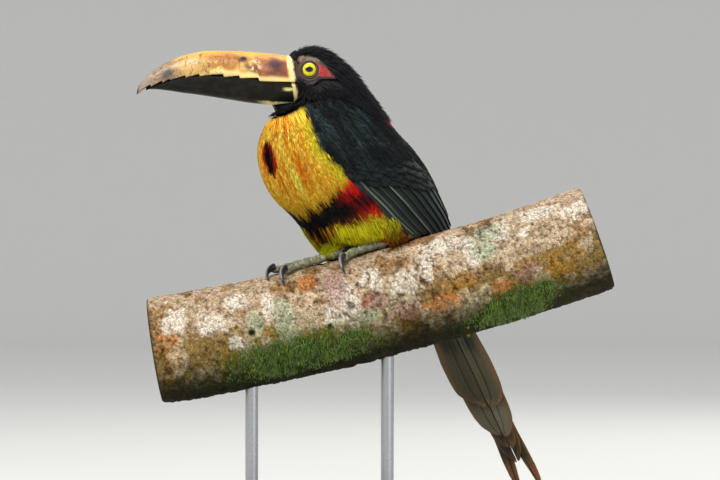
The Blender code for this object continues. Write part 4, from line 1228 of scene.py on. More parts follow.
def add_coverts(side, sign, colours, sizes, material):
    """Rows of vanes from the shoulder back, larger row by row, like the tiles of a roof."""
    rng = np.random.default_rng(61 + (sign < 0))
    station, share = [], []
    row_station = 5.0
    row = 0
    while row_station < 7.8:
        size = 0.5 + 0.5 * float(step(5.0, 7.6, row_station))
        breadth = sizes.covert_length * 0.6 * size
        upper, lower = wing_edges(np.array(row_station))
        lowest = float(step(6.6, 7.8, row_station)) * 0.55
        reach = float(plumage_frame(np.array(row_station), 0.5 * (upper + lower))[3] * (lower - upper))
        count = max(int(reach * (1.02 - lowest) / (breadth * 0.46)), 2)
        places = lowest - 0.02 + (1.04 - lowest) * (np.arange(count) + 0.5 * (row % 2) + 0.25) / count
        station.append(np.full(count, row_station))
        share.append(places)
        row_station += 0.27 * size
        row += 1
    station, share = np.concatenate(station), np.concatenate(share)
    station = station + rng.uniform(-0.09, 0.09, len(station))
    share = share + rng.uniform(-0.015, 0.015, len(share))
    upper, lower = wing_edges(station)
    angle = lower + (upper - lower) * share
    size = 0.5 + 0.5 * step(5.0, 7.6, station)
    length = sizes.covert_length * size * rng.uniform(0.9, 1.1, len(station))
    shade = rng.uniform(0.85, 1.15, len(station))[:, None, None, None]

    def tint(grid_station, grid_angle, place, across):
        turn = sign * np.minimum(np.abs(grid_angle), 1.7)
        base = markings(colours, np.maximum(grid_station, 5.3), turn) * shade
        rim = step(0.7, 1.0, np.maximum(np.abs(across), place) + 0 * grid_station)
        base = mix(base, "#2C3A3C", 0.1 * rim)
        # Painted shade: each covert darkens towards its root, under the row in front of it.
        return base * (0.65 + 0.35 * place)[..., None]

    add_vanes(
        "coverts_" + side, station, sign * angle, length, length * 0.7, material, tint,
        base=-0.8 * MM, tip=0.1 * MM + 0.1 * MM * share, thick=0.1 * MM, camber=0.05 * MM,
    )


class AddWings(bpy.types.Operator):
    """Lay the flight feathers and the coverts of both folded wings."""

    bl_idname = "aracari.wings"
    bl_label = "Wings"

    def execute(self, context):
        colours, sizes = context.scene.aracari_plumage, context.scene.aracari_wings
        flight = plumage_material("flight_feather_keratin", 0.55, 0.0, 0.15, vane=1.3)
        covert = plumage_material("covert_feather_keratin", 0.6, 0.0, 0.14, vane=1.1)
        for side, sign in SIDES:
            add_flight(side, sign, sizes, flight)
            add_coverts(side, sign, colours, sizes, covert)
        return {"FINISHED"}


class AddMantle(bpy.types.Operator):
    """Lay the mantle between the wings, the shoulders and the rump."""

    bl_idname = "aracari.mantle"
    bl_label = "Mantle and rump"

    def execute(self, context):
        colours = context.scene.aracari_plumage
        soft = plumage_material("mantle_feather_keratin", 0.58, 0.0, 0.2)
        station, angle, rng = rows_of_roots(4.2, 11.9, -1.3, 1.3, 1.5 * MM, 1.15 * MM, colours.seed + 41)
        around = np.degrees(np.abs(angle))
        keep = around < np.where(station < 5.4, 75, np.degrees(wing_edges(station)[0]) + 9)
        keep &= station > read(HOOD_EDGE, around) - 0.9
        station, angle = station[keep], angle[keep]
        growth = step(4.2, 8, station)
        add_strands(
            "mantle", station, angle, rng, (11 + 5 * growth) * MM, (1.3 + 0.5 * growth) * MM, soft,
            colours, proud=0.35 * MM, lift=0.3 * MM, clump=0.45, wander=0.3, thick=0.35,
            vary=0.4,
        )
        # The neck's sides and the shoulders, from the hood to the bend of the wing and down to the breast.
        for side, sign, seed in (("left", 1, 42), ("right", -1, 43)):
            station, angle, rng = rows_of_roots(
                2.9, 6.7, math.radians(52), math.radians(130), 1.3 * MM, 0.85 * MM, colours.seed + seed
            )
            around = np.degrees(angle)
            keep = (around < read(YELLOW_SIDE, station) + 2) & (station > read(HOOD_EDGE, around) - 0.9)
            add_strands(
                "feathers_shoulder_" + side, station[keep], sign * angle[keep], rng, 11 * MM, 1.2 * MM, soft,
                colours, proud=0.3 * MM, lift=0.2 * MM, clump=0.4, wander=0.3, vary=0.25,
            )
        station, angle, rng = rows_of_roots(11.4, 14.1, -1.75, 1.75, 1.5 * MM, 1.0 * MM, colours.seed + 46)
        add_strands(
            "feathers_rump", station, angle, rng, 15 * MM, 1.5 * MM, soft, colours,
            proud=0.5 * MM, lift=0.2 * MM, clump=0.5, wander=0.4,
        )
        return {"FINISHED"}


# ==== Tail ====

class TailSettings(bpy.types.PropertyGroup):
    upper: colour_setting("Upper side", "Green-black of the tail's upper side", "#1A2420")
    under: colour_setting("Underside", "Olive grey of the tail's underside", "#4A4A34")
    worn: colour_setting("Worn tips", "Bleached brown of the feathers' ends", "#D08A58")


def tail_tint(sizes, share, across, shaft, layer, number, length):
    """Green-black above; olive below, where each longer pair shows a browner end with worn, pale edges."""
    s, c = np.meshgrid(share, across, indexing="ij")
    along = s * length
    rough = noise(stacked(s * 3, c * 14 + number * 5), 75)
    drawn = noise(stacked(along * 0.05, c * 22 + number * 9), 76)
    middle = layer == len(TAIL_FEATHERS) - 1
    shown = TAIL_FEATHERS[layer - 1][0] if layer else 0.35 * length
    bare_end = step(shown - 6, shown + 8, along)
    under = tone(sizes.under) * (1 + 0.5 * drawn)[..., None]
    under = mix(under, "#1A1B15", 0.75 * step(0.1, 0.55, c) * step(0.9, 0.5, c) * step(60, 20, along))
    under = mix(under, "#6A4E3A", 0.7 * step(0.72, 0.95, c + 0.1 * rough))
    under = mix(under, "#6E664C", 0.8 * bare_end * (layer == 0))
    under = mix(under, "#A29A80", 0.8 * bare_end * (layer == 1))
    under = mix(under, "#5E4640", 0.9 * bare_end * (layer in (2, 3)))
    # Painted light and shade: the feathers on the bird's left, the lit side, are painted lighter and those on
    # its right darker, with the brown edges stronger on the left.
    lit_side_feather = number % 2 == 0
    under = under * (1.15 if lit_side_feather else 0.8)
    edge = step(0.66, 0.9, c + 0.12 * rough) * step(0.1, 0.35, s)
    under = mix(under, "#9C7440", (0.8 if lit_side_feather else 0.35) * edge)
    worn = mix(sizes.worn, "#6E5A5C", step(0.12, 0.04, np.abs(c - shaft)))
    under = mix(under, worn, bare_end * middle * np.clip(0.75 + 0.4 * drawn, 0, 1))
    upper = tone(sizes.upper) * (1 + 0.25 * rough)[..., None]
    upper = mix(upper, sizes.worn, 0.7 * step(0.8, 1.0, s + 0.05 * rough))
    rim = step(0.9, 0.99, np.abs(c - 0.5) * 2)
    result = []
    for base, pale in ((upper, "#7C6A4C"), (under, "#C8B088")):
        base = mix(base, pale, 0.75 * rim * step(0.1, 0.5, s))
        base = mix(base, "#1C140E", 0.85 * step(0.03, 0.012, np.abs(c - shaft)))
        base = mix(base, "#A98A62", 0.5 * step(0.93, 1.0, s + 0.04 * drawn))
        result.append(base)
    return np.concatenate([result[0].reshape(-1, 3), result[1][1:-1, 1:-1].reshape(-1, 3)])


class AddTail(bpy.types.Operator):
    """Make the ten graduated tail feathers, with shafts and frayed tips."""

    bl_idname = "aracari.tail"
    bl_label = "Tail"

    def execute(self, context):
        sizes = context.scene.aracari_tail
        forward = np.array((-math.cos(BODY_YAW), -math.sin(BODY_YAW), 0.0))
        left = np.array((math.sin(BODY_YAW), -math.cos(BODY_YAW), 0.0))
        down = -forward * math.sin(TAIL_LEAN) + np.array((0, 0, -math.cos(TAIL_LEAN)))
        under = np.cross(down, left)
        left = left * math.cos(TAIL_ROLL) - under * math.sin(TAIL_ROLL)
        under = np.cross(down, left)
        rows, columns = 90, 23
        share = np.linspace(0, 1, rows)
        across = np.linspace(0, 1, columns)
        stack, tints, bakes, vanes, names = [], [], [], [], []
        rng = np.random.default_rng(71)
        faces = pillow_faces(rows, columns)
        number = 0
        for layer, (length, half_width) in enumerate(TAIL_FEATHERS):
            depth = -layer * FEATHER_LAYER
            middle = layer == len(TAIL_FEATHERS) - 1
            for side, sign in SIDES:
                taper = np.clip(0.84 + 0.35 * share, 0, 1) * np.sqrt(np.clip(1 - share**9, 0, 1))
                outline = np.maximum(half_width * MM * taper, 0.5 * MM)
                full = outline * (1.55 - 0.02 * layer)
                frayed = 1 - 0.05 * step(0.7, 1, share) * rng.uniform(0, 1, rows)
                spread = 0.25 * MM + full[:, None] * across * frayed[:, None]
                if middle:
                    spread = spread + (7 * MM * np.clip(share - 0.62, 0, 1) ** 1.5 * 4)[:, None]
                shaft = 0.36
                arch = TAIL_ARCH * spread**2
                end_fray = 2.6 * MM * noise(stacked(across * 7, 0 * across + number), 72)
                run = (length * MM * share)[:, None] + step(0.8, 1, share)[:, None] * (end_fray - 1.5 * MM)
                ridge = 0.35 * MM * np.exp(-(((across - shaft) / 0.035) ** 2))
                barbs = 0.05 * MM * np.sin((run / MM + 9 * np.abs(across - shaft)) * TAU / 1.6)
                centre = TAIL_ROOT + run[..., None] * down + sign * spread[..., None] * left
                top = centre + (depth + arch - ridge - barbs)[..., None] * under
                thick = 0.3 * MM * np.sin(np.pi * np.clip(across, 0.05, 0.95)) + 0.2 * MM + 2 * ridge
                bottom = centre + (depth + arch + thick + barbs)[..., None] * under
                inner = bottom[1:-1, 1:-1].reshape(-1, 3)
                stack.append(np.concatenate([top.reshape(-1, 3), inner]))
                tints.append(tail_tint(sizes, share, across, shaft, layer, number, length))
                u = np.broadcast_to(((across - shaft) * full[:, None]) / MM, run.shape)
                vane = stacked(u, run / MM)
                vanes.append(np.concatenate([vane.reshape(-1, 2), vane[1:-1, 1:-1].reshape(-1, 2)]))
                sheet = stacked(across[None, :] * 0.046, share[:, None])
                sheet = sheet + (number * 0.1 + 0.001, 0)
                low = sheet[1:-1, 1:-1] + (0.049, 0)
                bakes.append(np.concatenate([sheet.reshape(-1, 2), low.reshape(-1, 2)]))
                names.append("tail_feather_%s_%d" % (side, len(TAIL_FEATHERS) - layer))
                number += 1
        material = plumage_material("tail_feather_keratin", 0.45, 0.0, 0.3, vane=1.6)
        vertices, faces = joined(np.stack(stack), faces)
        add_piece(
            "tail_feathers", vertices, faces, material, names, np.concatenate(tints),
            {"OFBake": np.concatenate(bakes), "Vane": np.concatenate(vanes)},
        )
        return {"FINISHED"}


# ==== Bill ====

class BillSettings(bpy.types.PropertyGroup):
    tooth_height: length_setting(
        "Tooth height", "Depth of the largest notch in the cutting edge", TOOTH_HEIGHT, 0, 6 * MM)
    band_width: length_setting(
        "Base band", "Width of the cream line round the bill's root", 2.8 * MM, 0, 10 * MM)
    ridge: colour_setting("Ridge", "Golden orange of the upper bill's ridge", "#E8A83A")
    ivory: colour_setting("Ivory", "Cream of the teeth and of the base band", "#F2DC92")
    maroon: colour_setting("Maroon", "Dark patch behind the nostril", "#7A4630")
    black: colour_setting("Lower bill", "Black of the lower bill", "#0F0E0B")


def tooth_drop(share, height):
    """The toothed edge: a straight ramp down to each steep side, with a little roughness from wear."""
    drop = np.zeros_like(share)
    ends = (0.0,) + TOOTH_ENDS
    for index, (start, end) in enumerate(zip(ends, TOOTH_ENDS)):
        size = height * (1.0 - 0.55 * end) * (1.0, 0.9, 1.05, 0.95, 1.1, 0.95, 1.1, 1.0)[index]
        ramp = np.clip((share - start) / (end - start), 0, 1)
        fall = step(end + 0.007, end - 0.001, share)
        drop = np.maximum(drop, size * (0.15 + 0.85 * ramp) * fall * (share > start + 0.003))
    return drop


def horn_material(name, roughness, coat, specular=0.4):
    """Keratin sheath over bone, grown in plates: satin, with fine growth lines and small chips."""
    material, tree, shader = new_material(
        name, Roughness=roughness, Coat_Weight=coat, Coat_Roughness=0.25, Specular_IOR_Level=specular
    )
    lines = object_noise(tree, 260, 4, 0.6, (0.22, 1, 1.2))
    pits = object_noise(tree, 1500, 2)
    patterned(tree, shader, lines, 0.86, 1.1)
    rough = ranged(tree, lines, 0.3, 0.7, roughness - 0.08, roughness + 0.12)
    tree.links.new(rough, shader.inputs["Roughness"])
    bumped(tree, shader, lines, 0.25, 0.0004)
    bumped(tree, shader, pits, 0.12, 0.0002)
    return material


def slanted(x, across, height, share):
    """Rings across the bill; the lower a point, the further back it is at the root, fading with the cube."""
    behind = BILL_SLANT * (BILL_OUTLINE[0][1] * MM - height) * ((1 - share) ** 3)[:, None]
    return stacked(np.broadcast_to(x[:, None], height.shape) + behind, HEAD_Y - across, height)


def add_upper(sizes):
    """An arch whose half width and rise are powers of cosine and sine, over a shallow hollow."""
    share = np.concatenate([[-0.05, -0.03, -0.012], np.linspace(0, 0.985, 420), [0.99, 0.995, 1.0]])
    tucked = np.interp(share, (-0.05, -0.03, -0.012, 0.0), (0.93, 0.96, 0.985, 1.0))  # into the head
    x, culmen, edge, _, width = bill_ring(share)
    width = width * tucked
    culmen = edge + (culmen - edge) * tucked
    rim = edge - tooth_drop(share, sizes.tooth_height)
    roof = edge + 0.6 * MM
    turn = np.linspace(0, np.pi, 71)
    side = np.sign(np.cos(turn)) * np.abs(np.cos(turn)) ** 0.8
    rise = np.sin(turn) ** 0.9
    from_root = share * (BILL_ROOT - BILL_TIP)
    band = step(sizes.band_width * 1.06, sizes.band_width * 0.9, from_root)[:, None]
    groove = 0.35 * MM * np.exp(-(((rise[None, :] - 0.86) / 0.05) ** 2)) * step(0.03, 0.12, share)[:, None]
    groove = groove * step(0.75, 0.5, share)[:, None]
    swell = 1 + 0.03 * band
    wear = 0.18 * MM * layered_noise(stacked(share[:, None] * 40, turn * 3), 81)
    wear = wear * step(0.0, 0.1, share)[:, None] * step(1.0, 0.9, share)[:, None]
    across = width[:, None] * side * swell - np.sign(side) * (groove + wear * np.abs(side))
    height = rim[:, None] + (culmen - rim)[:, None] * rise + wear * rise + 0.25 * MM * band * rise
    inner = np.array((-0.84, -0.80, -0.74, -0.4, 0.0, 0.4, 0.74, 0.80, 0.84))
    inner_across = width[:, None] * inner
    inner_height = np.where(np.abs(inner) < 0.79, roof[:, None], rim[:, None] + 0.05 * MM)
    inner_height = np.where(np.abs(inner) == 0.80, 0.5 * (roof + rim)[:, None], inner_height)
    points = slanted(
        x, np.concatenate([across, inner_across], 1), np.concatenate([height, inner_height], 1), share
    )
    tint = upper_tint(sizes, share, np.concatenate([rise, np.zeros(len(inner))]), points)
    horn = horn_material("upper_bill_keratin", 0.36, 0.2)
    add_tube("bill_upper_sheath", points, horn, ("bill_upper",), tint)


def upper_tint(sizes, share, rise, points):
    """Patches by the distance from the root and the height up the side, each broken up by noise."""
    s = np.broadcast_to(share[:, None], points.shape[:2])
    h = np.broadcast_to(rise, s.shape)
    along = s * (BILL_ROOT - BILL_TIP) / MM
    place = stacked(along * 0.16, h * 5 + np.sign(HEAD_Y - points[..., 1]) * 20)
    rough = layered_noise(place, 83)
    fine = layered_noise(place * 3.1, 84)

    def spot(at, half, level, half_level, ragged=0.6):
        bell = np.exp(-(((along - at) / half) ** 2 + ((h - level) / half_level) ** 2))
        return np.clip(bell * (1.15 + ragged * fine), 0, 0.95)

    gold, ivory = sizes.ridge, sizes.ivory
    colour = mix(ivory, gold, np.clip(0.62 + 0.6 * rough + 0.35 * h, 0, 1))
    colour = mix(colour, "#F0BE60", 0.6 * step(0.1, 0.7, fine) * step(0.9, 0.6, h))
    colour = mix(colour, "#D9801E", 0.9 * step(0.55, 0.75, h + 0.1 * rough) * step(0.95, 0.85, h)
                   * step(24, 34, along) * step(62, 50, along))
    colour = mix(colour, "#F2B430", step(0.72, 0.93, h) * step(0.78, 0.55, s))
    # Painted highlight: a paler yellow line along the top of the culmen.
    colour = mix(colour, "#FBD060", 0.55 * step(0.955, 0.998, h) * step(0.8, 0.6, s))
    colour = mix(colour, "#A45E1E", spot(37.5, 6.5, 0.60, 0.28, 1.4) * 0.95)
    ochre = 0.85 * step(-0.15, 0.35, rough) * step(26, 34, along) * step(60, 50, along)
    colour = mix(colour, "#B87A2C", ochre * step(0.9, 0.6, h))
    edge_of_patch = along + 4.5 * rough + 2.5 * fine - 2.5 * h
    patch = step(0.9, 0.8, h + 0.07 * rough) * step(0.05, 0.22, h - 0.05 * rough)
    patch = patch * step(26, 21, edge_of_patch)
    patch = patch * step(sizes.band_width / MM, 4.2, along)
    brown = mix(sizes.maroon, "#A8683C", np.clip(0.4 + 0.9 * rough, 0, 1))
    brown = mix(brown, "#C07A5C", 0.6 * np.clip(0.2 + fine, 0, 1) * step(7, 11, along))
    colour = mix(colour, brown, patch)
    colour = mix(colour, "#4A2A38", spot(10.5, 3.8, 0.58, 0.26))
    colour = mix(colour, "#A0483E", 0.75 * step(6.5, 3.2, along + 1.5 * rough) * patch)
    colour = mix(colour, "#D08A3E", spot(17.5, 4.2, 0.82, 0.12, 0.9) * 0.9)
    colour = mix(colour, "#F2DFA8", spot(23, 3.4, 0.5, 0.3) * step(0.15, 0.45, fine))
    colour = mix(colour, "#2E1C18", spot(30, 2.8, 0.70, 0.10, 0.9) * 1.05)
    colour = mix(colour, "#5A3A26", 0.8 * spot(27.5, 1.6, 0.42, 0.16, 1.4))
    # The bare ivory strip along the cutting edge, narrow at the root and broad in front of the patch.
    strip = step(0.34, 0.18, h + 0.07 * rough + 0.12 * step(36, 20, along)) * step(62, 44, along)
    colour = mix(colour, ivory, strip)
    # Crackled tan, then horn grey towards the tip.
    colour = mix(colour, "#D2AE6C", 0.85 * step(50, 60, along + 5 * rough) * step(0.97, 0.85, h))
    tip = step(64, 76, along + 5 * rough - 5 * h)
    horn = mix("#A88E78", "#5A4E48",
               np.clip(0.35 + 1.1 * fine, 0, 1))
    colour = mix(colour, horn, 0.92 * tip)
    colour = mix(colour, "#544A46", spot(76.5, 3.6, 0.4, 0.3))
    colour = mix(colour, "#A89A90", 0.7 * step(84, 90, along))
    bent = stacked(along * 0.26 + h * 1.6 + 0.9 * rough, h * 2.7 - along * 0.07 + 0.5 * fine)
    cracks = np.abs(noise(bent, 85) + 0.2 * fine)
    finer = np.abs(noise(bent * 1.9 + 7.3, 89) + 0.2 * fine)
    crackle = np.maximum(step(0.12, 0.04, cracks), 0.8 * step(0.09, 0.02, finer))
    crackle = crackle * step(37, 48, along) * step(0.98, 0.84, h) * step(78, 68, along)
    colour = mix(colour, "#3A240E", 0.9 * crackle)
    colour = mix(colour, "#3A3230", step(0.975, 1.0, s))
    # A dark line under each tooth, where the edge is worn and stained.
    stain = step(0.09, 0.0, h) * step(34, 44, along)
    colour = mix(colour, "#4E3A24", 0.75 * stain * np.clip(0.7 + fine, 0, 1))
    ragged = along + 0.45 * fine + 0.35 * noise(stacked(h * 9, 0 * h), 86)
    width = sizes.band_width / MM
    colour = mix(colour, "#F6E6A6", step(width * 1.12, width * 0.9, ragged))
    return mix(colour, "#17131A", step(0.15, -0.25, along + 0.3 * fine))


def add_lower(sizes):
    """A keel below, and a narrow ledge that closes into the upper bill's hollow."""
    share = np.concatenate([[-0.05, -0.03, -0.012], np.linspace(0, MANDIBLE_END, 300)])
    tucked = np.interp(share, (-0.05, -0.03, -0.012, 0.0), (0.93, 0.96, 0.985, 1.0))  # into the head
    x, _, edge, keel, width = bill_ring(share)
    width = width * tucked
    keel = edge - (edge - keel) * tucked
    top = edge + 0.2 * MM
    shoulder = np.maximum(edge - sizes.tooth_height * (1.0 - 0.55 * share) - 0.4 * MM, keel + 0.8 * MM)
    shoulder = np.maximum(shoulder, edge - 1.9 * MM)
    top = np.maximum(top, shoulder + 0.3 * MM)
    point = np.sqrt(np.clip(1.03 - (share / MANDIBLE_END) ** 12, 0, 1))
    keel = shoulder - (shoulder - keel) * point
    width = width * point * 0.965
    turn = np.linspace(np.pi, TAU, 61)
    side = np.sign(np.cos(turn)) * np.abs(np.cos(turn)) ** 0.8
    depth = np.sin(turn)
    from_root = share * (BILL_ROOT - BILL_TIP) / MM
    band = step(2.6, 2.1, from_root)[:, None]
    across = width[:, None] * side * (1 + 0.02 * band)
    height = shoulder[:, None] + (shoulder - keel)[:, None] * depth
    ledge = np.array((0.93, 0.86, 0.78, -0.78, -0.86, -0.93))
    ledge_height = np.where(np.abs(ledge) > 0.9, shoulder[:, None] + 0.1 * MM, top[:, None])
    points = slanted(
        x, np.concatenate([across, width[:, None] * ledge], 1),
        np.concatenate([height, ledge_height], 1), share,
    )
    s = np.broadcast_to(share[:, None], points.shape[:2])
    down = np.broadcast_to(np.concatenate([-depth, -0.1 + 0 * ledge]), s.shape)
    along = s * (BILL_ROOT - BILL_TIP) / MM
    rough = layered_noise(stacked(along * 0.3, down * 6), 87)
    fine = layered_noise(stacked(along * 1.1, down * 9), 88)
    colour = mix(sizes.black, "#26231A", np.clip(0.3 + 0.7 * rough, 0, 1))
    cream = "#F0E09C"
    line = step(0.84, 0.90, down + 0.03 * fine) * step(24, 15, along + 2 * rough)
    rear = step(2.3, 1.8, along + 0.45 * fine)
    spur = step(0.10, 0.04, np.abs(down - 0.22 - 0.012 * along) + 0.03 * fine) * step(9, 6, along + 2 * rough)
    colour = mix(colour, cream, np.clip(np.maximum(np.maximum(line, rear), 0.9 * spur), 0, 1))
    colour = mix(colour, "#17131A", step(0.15, -0.25, along + 0.3 * fine))
    horn = horn_material("lower_bill_keratin", 0.5, 0.0, 0.18)
    add_tube("bill_lower_sheath", points, horn, ("bill_lower",), colour)


class AddBill(bpy.types.Operator):
    """Make the saw-toothed upper bill and the black lower bill."""

    bl_idname = "aracari.bill"
    bl_label = "Bill"

    def execute(self, context):
        sizes = context.scene.aracari_bill
        add_upper(sizes)
        add_lower(sizes)
        return {"FINISHED"}


# ==== Eyes ====

class FaceSettings(bpy.types.PropertyGroup):
    iris_radius: length_setting("Iris radius", "Radius of the yellow iris", 4.25 * MM, 1 * MM, 6 * MM)
    iris: colour_setting("Iris", "Lemon yellow of the iris", "#F4E400")
    ring: colour_setting("Eye ring", "Dark bare skin round the eye", "#2C1A1C")
    wedge: colour_setting("Red skin", "Bare red skin behind the eye", "#D8383C")


def add_eyeball(side, sign, sizes):
    """A ball about the eye's axis: the iris and an oval pupil are painted by the distance from the axis."""
    polar = np.linspace(0, np.pi, 60)
    turn = np.linspace(0, TAU, 72, endpoint=False)
    p, q = np.meshgrid(polar[1:-1], turn, indexing="ij")
    radius = EYE_RADIUS * (1 + 0.035 * np.exp(-((p / 0.7) ** 2)))
    out = stacked(np.sin(p) * np.cos(q), -sign * np.cos(p), np.sin(p) * np.sin(q))
    centre = np.array((EYE_X, HEAD_Y - sign * EYE_DEPTH, EYE_Z))
    points = centre + out * radius[..., None]
    x, z = out[..., 0] * EYE_RADIUS, out[..., 2] * EYE_RADIUS
    from_axis = np.hypot(x, z)
    pupil = np.hypot(x / 2.15, z / 1.55) / MM
    colour = np.ones((*p.shape, 3)) * tone(sizes.iris)
    rays = noise(stacked(np.cos(q) * 9, np.sin(q) * 9), 91)
    colour = mix(colour, "#D6B800", np.clip(0.25 + 0.5 * rays, 0, 0.6))
    colour = mix(colour, "#6E7A30", step(1.25, 1.05, pupil))
    colour = mix(colour, "#050506", step(1.06, 0.96, pupil))
    edge = sizes.iris_radius
    colour = mix(colour, "#1A1008", step(edge * 0.97, edge * 1.04, from_axis))
    colour = np.where((p > 1.5)[..., None], tone("#1A1008"), colour)
    vertices, faces = closed_tube(points)
    tint = np.concatenate([colour.reshape(-1, 3), np.zeros((2, 3)) + tone("#050506")])
    vertices[-2] = centre + np.array((0, -sign * EYE_RADIUS * 1.035, 0))
    vertices[-1] = centre + np.array((0, sign * EYE_RADIUS, 0))
    vertices, faces = joined(vertices[None], faces)
    material, tree, shader = new_material(
        "glass_eye", Roughness=0.2, Coat_Weight=0.55, Coat_Roughness=0.02, Specular_IOR_Level=0.3, IOR=1.45
    )  # a painted glass eye, blown: a deep clear gloss over the iris
    patterned(tree, shader, object_noise(tree, 2600, 2), 0.85, 1.08)
    add_piece("eyeball_" + side, vertices, faces, material, ("eye_" + side,), tint)


def add_bare_skin(side, sign, sizes):
    """Rings round the eye's axis: a rolled lid, then skin that lies on the head out to a changing rim."""
    turn = np.linspace(0, TAU, 220, endpoint=False)
    level = np.linspace(0, 1, 64)
    u, q = np.meshgrid(level, turn, indexing="ij")
    direction = stacked(np.cos(q), np.sin(q))
    reach = np.maximum(reach_of(direction, ROUND_THE_EYE), reach_of(direction, BEHIND_THE_EYE))
    reach = (reach + 1.3) * MM
    start = 3.55 * MM
    radius = start + (reach - start) * u**1.15
    x = EYE_X + radius * direction[..., 0]
    z = EYE_Z + radius * direction[..., 1]
    station, angle = on_head(x, z, sign)
    normal = plumage_frame(station, angle)[0]
    surface = plumage(station, angle)
    from_eye = radius / MM
    lid = np.exp(-(((from_eye - 5.0) / 0.62) ** 2))
    second = 0.5 * np.exp(-(((from_eye - 6.7) / 0.4) ** 2))
    wrinkle = 0.16 * noise(stacked(x / (0.9 * MM), z / (0.9 * MM)), 93)
    sunk = -0.7 + 0.5 * lid + 0.35 * second + wrinkle * step(5.5, 6.5, from_eye)
    points = surface + normal * (sunk * MM)[..., None]
    near = step(5.0, 4.3, from_eye)
    ball = np.sqrt(np.clip(EYE_RADIUS**2 - np.minimum(radius, 4.6 * MM) ** 2, 0, None))
    lid_y = HEAD_Y - sign * (EYE_DEPTH + ball + 0.35 * MM * step(3.5, 4.4, from_eye))
    points[..., 0] = points[..., 0] * (1 - near) + x * near
    points[..., 2] = points[..., 2] * (1 - near) + z * near
    points[..., 1] = points[..., 1] * (1 - near) + lid_y * near
    points[..., 1] = points[..., 1] + sign * step(4.2, 3.7, from_eye) * 1.2 * MM
    back = points - normal * (1.4 * MM)
    rings = np.concatenate([points, back[::-1]], 0)
    faces = [grid_faces(2 * len(level), len(turn), True)]
    closing = np.stack(
        [
            np.arange(len(turn)) + (2 * len(level) - 1) * len(turn),
            (np.arange(len(turn)) + 1) % len(turn) + (2 * len(level) - 1) * len(turn),
            (np.arange(len(turn)) + 1) % len(turn),
            np.arange(len(turn)),
        ],
        -1,
    )
    faces = [np.concatenate([faces[0], closing])]
    place = radius[..., None] * direction / MM
    rough = noise(place / 1.4, 94)
    colour = mix("#4A3228", "#1E161E",
                 step(-3.2, -5.6, place[..., 1] + 0.6 * rough))
    # Painted highlight: a pale brown-grey strip on the skin above the eye.
    top_highlight = step(4.6, 6.6, place[..., 1] + 0.8 * rough) * (0.75 + 0.5 * rough)
    colour = mix(colour, "#8A7662", np.clip(top_highlight, 0, 0.85))
    red = step(0.7, -0.4, outside(place, RED_SKIN) + 0.5 * rough)
    grained = layered_noise(place / 0.9, 95)
    wedge = mix(tone(sizes.wedge) * (0.8 + 0.3 * rough)[..., None], "#4A0A0E",
                np.clip(0.15 + 0.9 * grained, 0, 0.8))
    colour = mix(colour, wedge, red)
    colour = mix(colour, sizes.ring, step(6.6, 5.8, from_eye + 0.2 * rough))
    pale_ring = np.exp(-(((from_eye - 4.75) / 0.2) ** 2)) + 0.5 * np.exp(-(((from_eye - 6.3) / 0.25) ** 2))
    colour = mix(colour, "#8A7660", np.clip(0.8 * pale_ring, 0, 1))
    colour = mix(colour, "#120C0C", step(4.5, 4.3, from_eye))
    tint = np.concatenate([colour, colour[::-1]], 0)
    vertices, faces = joined(rings.reshape(1, -1, 3), faces)
    material, tree, shader = new_material("bare_face_skin", Roughness=0.5, Specular_IOR_Level=0.4)
    # bare bird skin, painted on a cast: finely grained, with a low sheen
    grain = object_noise(tree, 1700, 3)
    patterned(tree, shader, grain, 0.7, 1.15)
    bumped(tree, shader, grain, 0.5, 0.0004)
    add_piece("bare_skin_" + side, vertices, faces, material, (), tint)


class AddEyes(bpy.types.Operator):
    """Make the eyes, their lids and the bare skin round them."""

    bl_idname = "aracari.eyes"
    bl_label = "Eyes and bare skin"

    def execute(self, context):
        sizes = context.scene.aracari_face
        for side, sign in SIDES:
            add_eyeball(side, sign, sizes)
            add_bare_skin(side, sign, sizes)
        return {"FINISHED"}


# ==== Feet ====

class FootSettings(bpy.types.PropertyGroup):
    scute: length_setting("Scute length", "Length of a scale on top of a toe", 2.3 * MM, 0.8 * MM, 6 * MM)
    toe: colour_setting("Toe", "Grey-green of the toes", "#7E8364")
    claw: colour_setting("Claw", "Dark horn of the claws", "#221E28")


